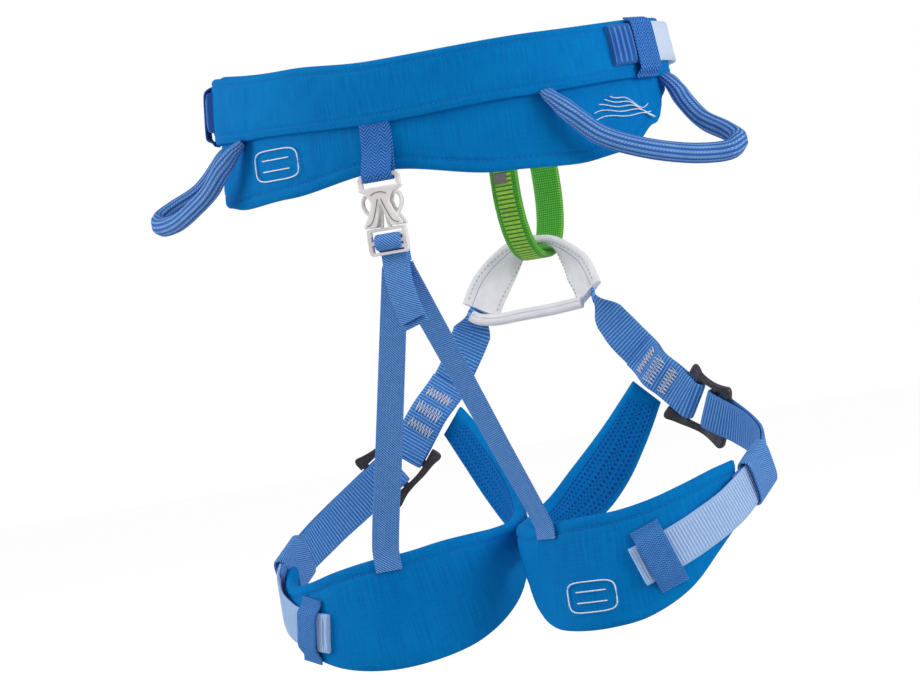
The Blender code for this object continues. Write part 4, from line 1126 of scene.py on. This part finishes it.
def belay_loop():
    mid, half = (BELAY_HIGH + BELAY_LOW) / 2, (BELAY_HIGH - BELAY_LOW + BELAY_THICK) / 2
    count = 220
    sideways = Vector((1, 0, 0))
    stations = []
    for i in range(count):
        a = 2 * math.pi * i / count + math.pi / 2
        y = BELAY_Y + (BELAY_HALF_DEPTH + BELAY_THICK / 2) * boxed(math.cos(a), 2 / BELAY_BEND)
        z = mid + half * boxed(math.sin(a), 2 / BELAY_BEND)
        stations.append((Vector((0, y, z)), sideways))
    green = ("belay", "belay_webbing", BELAY)
    ring = {"step": 0.5, "closed": True, "rib": 0.10, "pitch": LADDER_PITCH}
    strap("belay_webbing", stations, BELAY_WEBBING, BELAY_THICK, *green, ["belay_loop"], **ring)
    tab = []
    for i in range(30):
        z = LAP_TOP - 0.9 * i
        share = abs((z - mid) / half) ** BELAY_BEND
        y = BELAY_Y - (BELAY_HALF_DEPTH + BELAY_THICK + 0.9) * (1 - share) ** (1 / BELAY_BEND)
        tab.append((Vector((0.6, y - 0.3, z)), sideways))
    strap("belay_lap", tab, 14.6, 1.5, *green, ["belay_loop_tab"], rib=0.08, pitch=LADDER_PITCH)
    label = [(p + Vector((-1.4, -0.95, 0)), a) for p, a in tab[9:16]]
    strap("belay_label", label, 7.4, 0.5, "belay", "belay_webbing", LABEL)
    back = Vector((0, -1, 0))
    lines = [[(p + Vector((x, -0.75, 0)), back) for p, _ in tab[1:-1]] for x in (-5.6, 6.8)]
    stitching("belay_stitching", lines, "belay", GREEN_THREAD, "belay_webbing", 0.22, 2.0)


def yoke():
    half = [(-31, 80, 15.0), (-26.2, 84.5, 25.2), (-18.4, 89.5, 35.8), (-9.6, 92.7, 44.3), (0, BELAY_Y, 47.0)]
    stations = []
    for p in spline(mirrored(half), 110):
        turn = math.radians(70) * min(1.0, abs(p.x) / 24) ** 1.4
        flat, upright = Vector((0, -1, 0)), Vector((math.copysign(0.77, p.x), 0, 0.63))
        stations.append((p, flat * math.cos(turn) + upright * math.sin(turn)))
    width = lambda share: YOKE_NARROW + YOKE_SPREAD * min(1.0, abs(2 * share - 1) * 1.4)
    white = ("waist", "white_webbing")
    more = {"crown": 0.25, "step": 0.7}
    strap("yoke_sheath", stations, width, YOKE_THICK, *white, WHITE, ["leg_yoke_sheath"], **more)
    centres, across, at = resampled(stations, 0.7)
    side, up = strap_frames(centres, across)
    half_width = np.array([width(share) / 2 for share in at / at[-1]])[:, None]
    lines, seam = [], []
    for face in (1, -1):
        for v in (-0.78, 0.78):
            spots = centres + side * v * half_width + up * face * (YOKE_THICK / 2 + 0.09)
            lines.append([(Vector(p), Vector(n)) for p, n in zip(spots[3:-3], up[3:-3] * face)])
        seam.append((centres + side * 0.5 * half_width + up * face * (YOKE_THICK / 2 + 0.18))[1:-1])
    stitching("yoke_stitching", lines, "waist", GREY_THREAD, "white_webbing", 0.22)
    cords("yoke_seam", seam, 0.2, *white, GREY_THREAD)
    keys = [(-36, 77, 13.5), (-31, 77.5, 10.5), (-22, 79, 9.0), (-10, 81, 9.4), (8, 81, 9.8), (26, 80, 11.0)]
    tie = [(p, Vector((0, 0.5, 1))) for p in spline(keys, 60)]
    strap("yoke_tie", tie, 6.4, 4.6, *white, WHITE, ["leg_yoke_tie"])


# ------------------------------------------------------------------- the steel buckles


def smooth_rows(keys, cells, parts=4):
    """Rows (u, inner, outer) between the key rows, on smooth curves, and the cells that go with them."""
    rows, found = [], []
    for r in range(len(keys) - 1):
        for j in range(parts):
            t = j / parts
            line = [keys[max(r - 1, 0)], keys[r], keys[r + 1], keys[min(r + 2, len(keys) - 1)]]
            values = []
            for column in range(3):
                a, b, c, d = (row[column] for row in line)
                lead, tail = (c - a) / 2, (d - b) / 2
                if column == 0:
                    lead = tail = c - b
                values.append(hermite(b, lead, c, tail, t))
            rows.append(tuple(values))
            found.append(cells[r])
    rows.append(keys[-1])
    return rows, found


def lattice_plate(rows, cells, low_w, high_w, to_point):
    """A plate of four columns of corners, -outer, -inner, +inner and +outer at each row (u, inner, outer),
    with the cells that each row names: L, M or R."""
    points, index = [], {}

    def corner(row, column, w):
        key = (row, column, w)
        if key not in index:
            u, i, o = rows[row]
            index[key] = len(points)
            points.append(list(to_point(u, (-o, -i, i, o)[column], w)))
        return index[key]

    faces = []
    names = "LMR"
    present = {(r, c) for r in range(len(rows) - 1) for c in range(3) if names[c] in cells[r]}
    for r, c in sorted(present):
        square = ((r, c), (r, c + 1), (r + 1, c + 1), (r + 1, c))
        for w in (low_w, high_w):
            faces.append([corner(a, b, w) for a, b in square])
        sides = (((r - 1, c), 0), ((r, c + 1), 1), ((r + 1, c), 2), ((r, c - 1), 3))
        for neighbour, edge in sides:
            if neighbour in present:
                continue
            a, b = square[edge], square[(edge + 1) % 4]
            faces.append([corner(*a, low_w), corner(*b, low_w), corner(*b, high_w), corner(*a, high_w)])
    return points, faces


def plate_piece(name, shapes, body, finish, replaced, bevel):
    """Plates in one mesh, with their edges rounded."""
    points, faces = [], []
    for more_points, more_faces in shapes:
        start = len(points)
        points += more_points
        faces += [[start + i for i in face] for face in more_faces]
    mesh = bpy.data.meshes.new(name)
    mesh.from_pydata(place(points).tolist(), [], faces)
    piece = settle(name, mesh, body, finish, replaced)
    rounded = piece.modifiers.new("Rounded", "BEVEL")
    rounded.width = bevel * 0.001
    rounded.segments = 3
    rounded.limit_method = "ANGLE"
    rounded.angle_limit = SHARP_EDGE
    rounded.harden_normals = False


def steel_buckle(name, track, s_centre, flare=4.2):
    """A slotted frame with flared ends and rounded corners, curved as its strap is."""
    half_slot = WEBBING / 2 + 0.9
    rail, corner = 3.2, 3.4

    def outer(u):
        wide = half_slot + rail + flare * (u / BUCKLE_HALF) ** 2
        over = max(0.0, abs(u) - (BUCKLE_HALF - corner))
        return wide - (corner - math.sqrt(max(0.0, corner**2 - over**2)))

    marks = [-BUCKLE_HALF, -9.0, -6.0, 3.0, 6.0, 11.5, 15.0, BUCKLE_HALF]
    cells = ["LR", "LMR", "LR", "LMR", "LR", "LMR", "LR"]
    rows, row_cells = [], []
    for (start, end), cell in zip(zip(marks, marks[1:]), cells):
        parts = max(2, round((end - start) / 0.7))
        for j in range(parts):
            u = start + (end - start) * j / parts
            rows.append((u, half_slot, outer(u)))
            row_cells.append(cell)
    rows.append((BUCKLE_HALF, half_slot, outer(BUCKLE_HALF)))

    def to_point(u, v, w):
        point, _, normal, across = track.frame(s_centre + u)
        past_slot = max(0.0, abs(v) - half_slot)
        return point + across * v + normal * (w - 0.03 * past_slot**2)

    shape = lattice_plate(rows, row_cells, -BUCKLE_THICK / 2, BUCKLE_THICK / 2, to_point)
    plate_piece(f"{name}_frame", [shape], name, STEEL, [name], 0.7)


# ------------------------------------------------------------------------- leg loops


def leg_edge(keys):
    """An edge curve of a leg pad, as (turn, z, 0) at a share of its length."""
    return catmull([(turn, z, 0) for turn, z in keys])


def leg_pad(name, side):
    surface = thigh_surface(side)
    body = f"leg_{name}"
    low, high = leg_edge(FRONT_LOW + PAD_LOW[name]), leg_edge(FRONT_HIGH + PAD_HIGH[name])
    mesh, clear = pad_mesh(f"leg_pad_{name}", surface, (low, high), LEG_PAD_FACES, [("high", SEAM_INSET)])
    nodes = [f"leg_pad_cover_{name}", f"leg_pad_foam_{name}"]
    stuffed(settle(f"leg_pad_{name}", mesh, body, COVER, nodes), clear, 1.2)
    lining = trimmed(low, 4.6, 0.02), trimmed(high, -4.6, 0.02)
    mesh, _ = pad_mesh(f"leg_lining_{name}", surface, lining, LEG_LINING_FACES, rounding=0.5, rows=10)
    settle(f"leg_lining_{name}", mesh, body, LINING, [f"leg_pad_lining_{name}"])
    lines = [seam_line(surface, (low, high), "high", SEAM_INSET, 0.55)]
    lines += [seam_line(surface, lining, edge, 1.1, -5.55) for edge in ("high", "low")]
    stitching(f"leg_stitching_{name}", lines, body, BLUE_THREAD, "pad_fabric")


def leg_track(name, side):
    surface = thigh_surface(side)
    keys = [(32.8, 79.2, 12.0), (39, 79.4, 2.0), (47, 79.6, -10), (56, 79.6, -21.5)]
    forward = Vector((0, 1, 0))
    spots = [Vector((side * x, y, z)) for x, y, z in keys]
    normals = [Vector((side * 0.75, 0.45, 0.3)), Vector((side * 0.3, 1, 0)), forward, forward]
    for turn, z, offset in STRAP_LINE[name]:
        spots.append(surface(turn, z, offset))
        normals.append((surface(turn, z, 1.0) - surface(turn, z)).normalized())
    steps = 320
    knots = running_lengths(spots)
    smooth = []
    for i in range(steps + 1):
        at = knots[-1] * i / steps
        k = max(j for j in range(len(spots) - 1) if knots[j] <= at + 1e-9)
        u = min(1.0, (at - knots[k]) / (knots[k + 1] - knots[k]))
        u = u * u * (3 - 2 * u)
        smooth.append(normals[k].lerp(normals[k + 1], u).normalized())
    return Track(spline(spots, steps), smooth)


def leg_straps(name, side):
    surface = thigh_surface(side)
    body = f"leg_{name}"
    track = leg_track(name, side)
    s_centre = track.nearest(surface(*STRAP_LINE[name][2])) + BUCKLE_SHIFT[name]
    s_held, s_turned = s_centre + BAR_HELD, s_centre + BAR_TURNED
    steel_buckle(f"leg_buckle_{name}", track, s_centre)
    over = hump(s_held, BIGHT_RADIUS, 0.6, 9.0)
    under = hump(s_held, -BIGHT_RADIUS, -1.3, 9.0)
    start, across = track.at(0.0, over(0.0))
    hidden = [(-side * 3.4, 4.2, 8.5), (-side * 1.4, 1.9, 4.0)]
    stations = [(start + Vector(away), across) for away in hidden]
    stations += folded(track, 0.0, s_held, s_held - RISER_FOLD, over, under, 1)
    width = lambda share: WEBBING * (0.42 + 0.58 * min(1.0, share / RISER_GATHER[name]) ** 1.3)
    webbing(f"riser_{name}", stations, body, STRAP, [f"leg_riser_{name}"], width, rib=0.13)
    tacks = [zigzag(track, s_held - reach, under, -1.15) for reach in BARTACKS]
    cords(f"riser_bartacks_{name}", tacks, 0.8, body, "webbing", WHITE_THREAD)

    s_sewn = track.nearest(surface(*LEG_STRAP_SEWN[name], 2.2))
    s_tip = track.nearest(surface(LEG_TAIL_TIP, -131, 1.2))
    under = hump(s_turned, -BIGHT_RADIUS, -0.25, 16.0)
    over = hump(s_turned, BIGHT_RADIUS, 1.75, 16.0)
    stations = folded(track, s_sewn, s_turned, s_tip, under, over, -1)
    piece = webbing(f"leg_webbing_{name}", stations, None, LEG_STRAP, [f"leg_strap_{name}"], rib=0.13)
    still, moved = (place(track.frame(s_turned + reach)[0]) for reach in (24.0, 3.0))
    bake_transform(piece)
    tail_end(f"leg_tail_end_{name}", track, s_tip, -1, over(s_tip), body, PALE_STRAP)

    s_keeper = track.nearest(surface(LEG_KEEPER, -125, 1.2))
    s_loop = track.nearest(surface(*STRAP_LOOP[name], 1.0))
    hoop(f"leg_elastic_{name}", track, s_keeper, body, f"leg_keeper_{name}")
    wrapped_loop(f"leg_hoop_{name}", track, s_loop, body, f"leg_strap_loop_{name}")


def wrapped_loop(name, track, s_middle, body, node):
    """A wide band sewn in a ring round all the strap's layers."""
    low, high = -3.0, 4.3
    outline = []
    for i in range(72):
        turn = 2 * math.pi * i / 72
        v = (WEBBING / 2 + 1.6) * boxed(math.cos(turn), 0.5)
        outline.append((v, (high + low) / 2 + (high - low) / 2 * boxed(math.sin(turn), 0.75)))
    stations = track.around(s_middle, outline)
    strap(name, stations, 25.0, 1.2, body, "webbing", TWILL, [node], step=0.5, rib=0.08, closed=True)


def hoop(name, track, s_middle, body, node):
    """A flat elastic hoop over the strap's layers, open along the strap, whose feet lie on the pad."""
    half, foot = WEBBING / 2, 6.5
    low, high = 0.9, 4.5
    keys = [(-half - foot, low), (-half - 0.55 * foot, low + 0.15), (-half - 0.9, 0.55 * (low + high))]
    keys += [(-half + 1.6, high), (0, high + 0.15)]
    keys = mirrored([(v, w, 0) for v, w in keys])
    stations = track.around(s_middle, [p[:2] for p in spline(keys, 70)])
    strap(name, stations, 15.0, 1.1, body, "elastic", DIAMOND, [node], step=0.5)


# ------------------------------------------------- the rear buckle and its straps


def rear_anchor():
    bar_z = BUCKLE_TOP - 1.1
    skin = -WAIST_HALF_DEPTH
    keys = [(skin - 1.7, 119), (skin - 1.7, 106), (skin - 2.3, 97), (REAR_Y + 2.3, bar_z + 1.2)]
    keys += [(REAR_Y + 1.7, bar_z - 1.6), (REAR_Y, bar_z - 2.35), (REAR_Y - 1.7, bar_z - 1.6)]
    keys += [(REAR_Y - 2.3, bar_z + 1.2), (skin - 4.8, 96), (skin - 2.9, 105)]
    keys += [(skin - 2.8, 112), (skin - 2.8, 119)]
    stations = [(p, Vector((1, 0, 0))) for p in spline([(0, y, z) for y, z in keys], 120)]
    return strap_mesh("rear_anchor", stations, ANCHOR_STRAP, ELASTIC_THICK, step=0.5)


def upright_plate(rows, cells, low_w, high_w):
    """A plate of the rear buckle, in the X-Z plane: u is z, v is x, and w is y from the buckle's middle."""
    return lattice_plate(rows, cells, low_w, high_w, lambda u, v, w: Vector((v, REAR_Y + w, u)))


def rows_from(height, rows):
    """Plate rows whose u is measured from a height."""
    return [(height + up, inner, outer) for up, inner, outer in rows]


def rear_buckle():
    """The female half's two lobed plates, the male half's ladder frame and guide, and its two prongs."""
    top = BUCKLE_TOP
    rows = [(0, 8.7, 10.2), (-2.2, 8.7, 11.2), (-7.0, 8.7, 10.8), (-9.4, 3.2, 7.2), (-13.0, 0.9, 5.0)]
    rows += [(-14.8, 0.8, 5.0), (-20.0, 1.9, 7.2), (-24.2, 3.5, 9.8), (-25.7, 4.2, 10.1)]
    rows = rows_from(top, rows)
    cells = ["LMR", "LR", "LMR", "LMR", "LMR", "LR", "LR", "LR"]
    lobes = smooth_rows(rows[2:], cells[2:])
    crown = smooth_rows(rows[:3], cells[:2], 3)
    core = rows_from(top, [(-6.4, 5.0, 10.4), (-8.6, 3.2, 7.4), (-9.6, 2.6, 6.4)])
    shapes = [
        upright_plate(*lobes, -3.4, -1.5),
        upright_plate(*lobes, 1.5, 3.4),
        upright_plate(*crown, -1.0, 1.0),
        upright_plate(core, ["LMR", "LMR"], -2.0, 2.0),
    ]
    plate_piece("rear_female", shapes, "rear_female", PLASTIC, ["rear_buckle_female"], 0.5)
    # Dark grey cords on the female half's faces paint the shade in its moulded grooves.
    grooves = []
    for face in (REAR_Y - 3.46, REAR_Y + 3.46):
        for side in (-1, 1):
            keys = [(0.9, 12.0), (1.3, 13.6), (3.0, 18.2), (4.9, 22.4), (6.6, 24.0), (8.6, 24.6)]
            grooves.append(spline([(side * x, face, top - down) for x, down in keys], 26))
        arch = [(-4.2, 10.2), (-2.5, 9.3), (0, 8.9), (2.5, 9.3), (4.2, 10.2)]
        grooves.append(spline([(x, face, top - down) for x, down in arch], 20))
    cords("rear_female_groove_shade", grooves, 0.24, "rear_female", "buckle_plastic", GROOVE_SHADE)

    half, bar = ELASTIC / 2 + 1.4, LADDER_BAR_Z
    rows = [(6.9, half, 10.1), (5.5, half, 10.3), (0.9, half, 10.4), (-0.9, half, 10.4)]
    rows += [(-4.7, half, 10.3), (-6.1, half, 9.2)]
    ladder = smooth_rows(rows_from(bar, rows), ["LMR", "LR", "LMR", "LR", "LMR"], 2)
    guide = rows_from(bar, [(15.5, 0.35, 0.9), (13.5, 0.5, 1.2), (8.8, 1.0, 2.3), (6.2, 1.6, 3.3)])
    shapes = [
        upright_plate(*ladder, -1.4, 1.4),
        upright_plate(*smooth_rows(guide, ["LMR", "LR", "LR"]), -0.9, 0.9),
    ]
    for z in (bar + 3.4, bar - 2.9):
        tooth = rows_from(z, [(0.9, 6.0, half + 0.4), (0, 5.2, half + 0.4), (-0.9, 6.0, half + 0.4)])
        shapes.append(upright_plate(tooth, ["R", "R"], -1.5, -0.5))
    plate_piece("rear_male", shapes, "waist", PLASTIC, ["rear_buckle_male"], 0.45)
    for name, side in SIDES:
        keys = [(5.9, 7.4), (6.1, 10), (7.4, 13.3), (9.2, 15.7), (10.2, 18.6), (9.8, 21.4), (8.5, 23)]
        path = spline([(side * x, REAR_Y, bar + up) for x, up in keys], 60)
        stations = [(p, Vector((0, 1, 0))) for p in path]
        ride = (f"prong_{name}", "buckle_plastic", PLASTIC, [f"rear_buckle_prong_{name}"])
        strap(f"rear_prong_{name}", stations, 2.6, 1.8, *ride, columns=3)


def drop_straps():
    """Elastic from the back of each leg loop up through the ladder frame, over its middle bar, and down again
    as one layer of the doubled tail."""
    around = [(6.3, -10), (6.0, -4.7), (3.9, 0.8), (1.3, 2.85), (-1.3, 2.6), (-2.7, 0.3), (-2.1, -2.1)]
    around += [(0.4, -2.9), (3.25, -4.9), (3.5, -8.2)]
    tail = [(2.6, -0.6, 34), (5.0, -1.8, 23), (8.4, -2.2, 11.5)]
    meshes = {}
    for name, side in SIDES:
        surface = thigh_surface(side)
        turn, z = DROP_STRAP_END[name]
        end, edge = surface(turn, z, 1.9), surface(turn, -94, 2.3)
        top = Vector((side * 1.2, REAR_Y + 6.3 + 0.66 * side, LADDER_BAR_Z - 12))
        path = spline([end, edge, edge.lerp(top, 0.33), edge.lerp(top, 0.66), top], 60)
        slope = (surface(turn + 5, -100) - surface(turn - 5, -100)).normalized() * side
        stations = []
        for i, p in enumerate(path[:-1]):
            stations.append((p, slope.lerp(Vector((1, 0, 0)), i / (len(path) - 1))))
        middle = [Vector((0.6, REAR_Y + y, LADDER_BAR_Z + z)) for y, z in around]
        middle += [Vector((x, REAR_Y + y, z)) for x, y, z in tail]
        points = spline(middle, 160)
        normals = []
        for i in range(len(points)):
            tangent = points[min(i + 1, len(points) - 1)] - points[max(i - 1, 0)]
            normals.append(Vector((1, 0, 0)).cross(tangent).normalized())
        turned = Track(points, normals)
        end_s = turned.lengths[-1] - (0.0 if side < 0 else 3.0)
        stations += layer(turned, 0.0, end_s, lambda s: -0.66 * side)
        meshes[name] = strap_mesh(f"drop_strap_{name}", stations, ELASTIC, ELASTIC_THICK, step=0.6)
        if side < 0:
            tack = [zigzag(turned, end_s - 3.0, lambda s: 0.66, lift, 4.6, 1.0) for lift in (0.62, -1.2)]
            cords("drop_strap_bartack", tack, 0.3, "waist", "elastic", DEEP_THREAD, 5)
    return meshes


def rear_straps():
    anchor = settle("rear_anchor", rear_anchor(), None, HERRINGBONE, ["rear_anchor_strap"])
    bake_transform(anchor)
    for name, mesh in drop_straps().items():
        piece = settle(f"drop_{name}", mesh, None, TWILL, [f"drop_strap_{name}"])
        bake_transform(piece)


# ----------------------------------------------------------- printed and sewn marks


def patch(name, surface, turn, z, width, height, tilt, body, offset):
    """A plain woven patch: a rounded outline with two bars."""
    degree = (surface(turn + 1, z, offset) - surface(turn, z, offset)).length

    def spot(x, y):
        c, s = math.cos(tilt), math.sin(tilt)
        return surface(turn + (x * c - y * s) / degree, z + x * s + y * c, offset)

    outline = []
    for i in range(73):
        a = 2 * math.pi * i / 72
        outline.append(spot(width / 2 * boxed(math.cos(a), 0.45), height / 2 * boxed(math.sin(a), 0.45)))
    lines = [outline]
    for y in (0.18, -0.18):
        lines.append([spot(width * (0.32 * (i / 10 - 1)), height * y) for i in range(21)])
    cords(name, lines, 0.34, body, "pad_fabric", PRINT)


def marks():
    """Generic marks: two plain patches and a few contour lines, with no lettering."""
    patch("waist_patch", waist_point, -31.0, 97.0, 31.0, 15.0, 0.0, "waist", 2.9)
    patch("leg_patch", thigh_surface(1), 263.0, -131.0, 27.0, 15.0, 0.0, "leg_right", 2.5)
    lines = []
    for k in range(5):
        path = []
        for i in range(41):
            t = i / 40
            turn = 54 + 2.0 * k + (24 - 2.5 * k) * t
            z = 93 + 2.6 * k + 3.6 * math.sin(3.1 * t + 0.5 * k) + 1.2 * math.sin(9.0 * t + k)
            path.append(waist_point(turn, z, 3.0))
        lines.append(path)
    cords("waist_contours", lines, 0.22, "waist", "pad_fabric", PRINT, 5)


# --------------------------------------------------------------- the studio


def studio():
    bpy.ops.mesh.primitive_circle_add(vertices=96, radius=6.0, fill_type="NGON")
    floor = bpy.context.object
    floor.name = "floor"
    floor.location = (0, 0, cad_box[0][2] - FLOOR_DROP)
    floor.data.materials.append(floor_finish())
    scene = bpy.context.scene
    scene.view_settings.view_transform = "Standard"
    world = bpy.data.worlds.new("studio")
    scene.world = world
    world.use_nodes = True
    tree = world.node_tree
    soft = tree.nodes["Background"]
    backdrop = tree.nodes.new("ShaderNodeBackground")
    for node, strength in ((soft, WORLD_LIGHT), (backdrop, 1.0)):
        node.inputs[0].default_value = (1.0, 1.0, 1.0, 1)
        node.inputs[1].default_value = strength
    seen = tree.nodes.new("ShaderNodeLightPath")
    either = tree.nodes.new("ShaderNodeMixShader")
    tree.links.new(seen.outputs["Is Camera Ray"], either.inputs[0])
    tree.links.new(soft.outputs[0], either.inputs[1])
    tree.links.new(backdrop.outputs[0], either.inputs[2])
    tree.links.new(either.outputs[0], tree.nodes["World Output"].inputs[0])
    middle = Vector((0, -0.09, -0.045))
    for name, (away, size, power) in LAMPS.items():
        light = bpy.data.lights.new(name, "AREA")
        light.shape = "DISK"
        light.size = size
        light.energy = power
        lamp = bpy.data.objects.new(name, light)
        lamp.location = middle + Vector(away)
        lamp.rotation_euler = (middle - lamp.location).to_track_quat("-Z", "Y").to_euler()
        scene.collection.objects.link(lamp)


def photo_camera():
    """A long lens behind the wearer, level, turned to the right and rolled."""
    right = Vector((math.cos(CAMERA_TURN), math.sin(CAMERA_TURN), 0))
    to = Vector((math.sin(CAMERA_TURN), -math.cos(CAMERA_TURN), 0))
    up = Vector((0, 0, 1))
    across = right * math.cos(CAMERA_ROLL) - up * math.sin(CAMERA_ROLL)
    upward = right * math.sin(CAMERA_ROLL) + up * math.cos(CAMERA_ROLL)
    spot = Vector(place(to * CAMERA_AWAY + across * CAMERA_SHIFT[0] + upward * CAMERA_SHIFT[1]))
    data = bpy.data.cameras.new("camera")
    data.sensor_width = 36.0
    data.lens = CAMERA_LENS
    camera = bpy.data.objects.new("camera", data)
    camera.matrix_world = Matrix.Translation(spot) @ Matrix((across, upward, to)).transposed().to_4x4()
    bpy.context.scene.collection.objects.link(camera)
    bpy.context.scene.camera = camera


waist_pad()
waist_straps()
waist_tie_in()
waist_keepers()
gear_loops()
belay_loop()
yoke()
for leg_name, leg_side in SIDES:
    leg_pad(leg_name, leg_side)
    leg_straps(leg_name, leg_side)
rear_buckle()
rear_straps()
marks()
studio()
photo_camera()
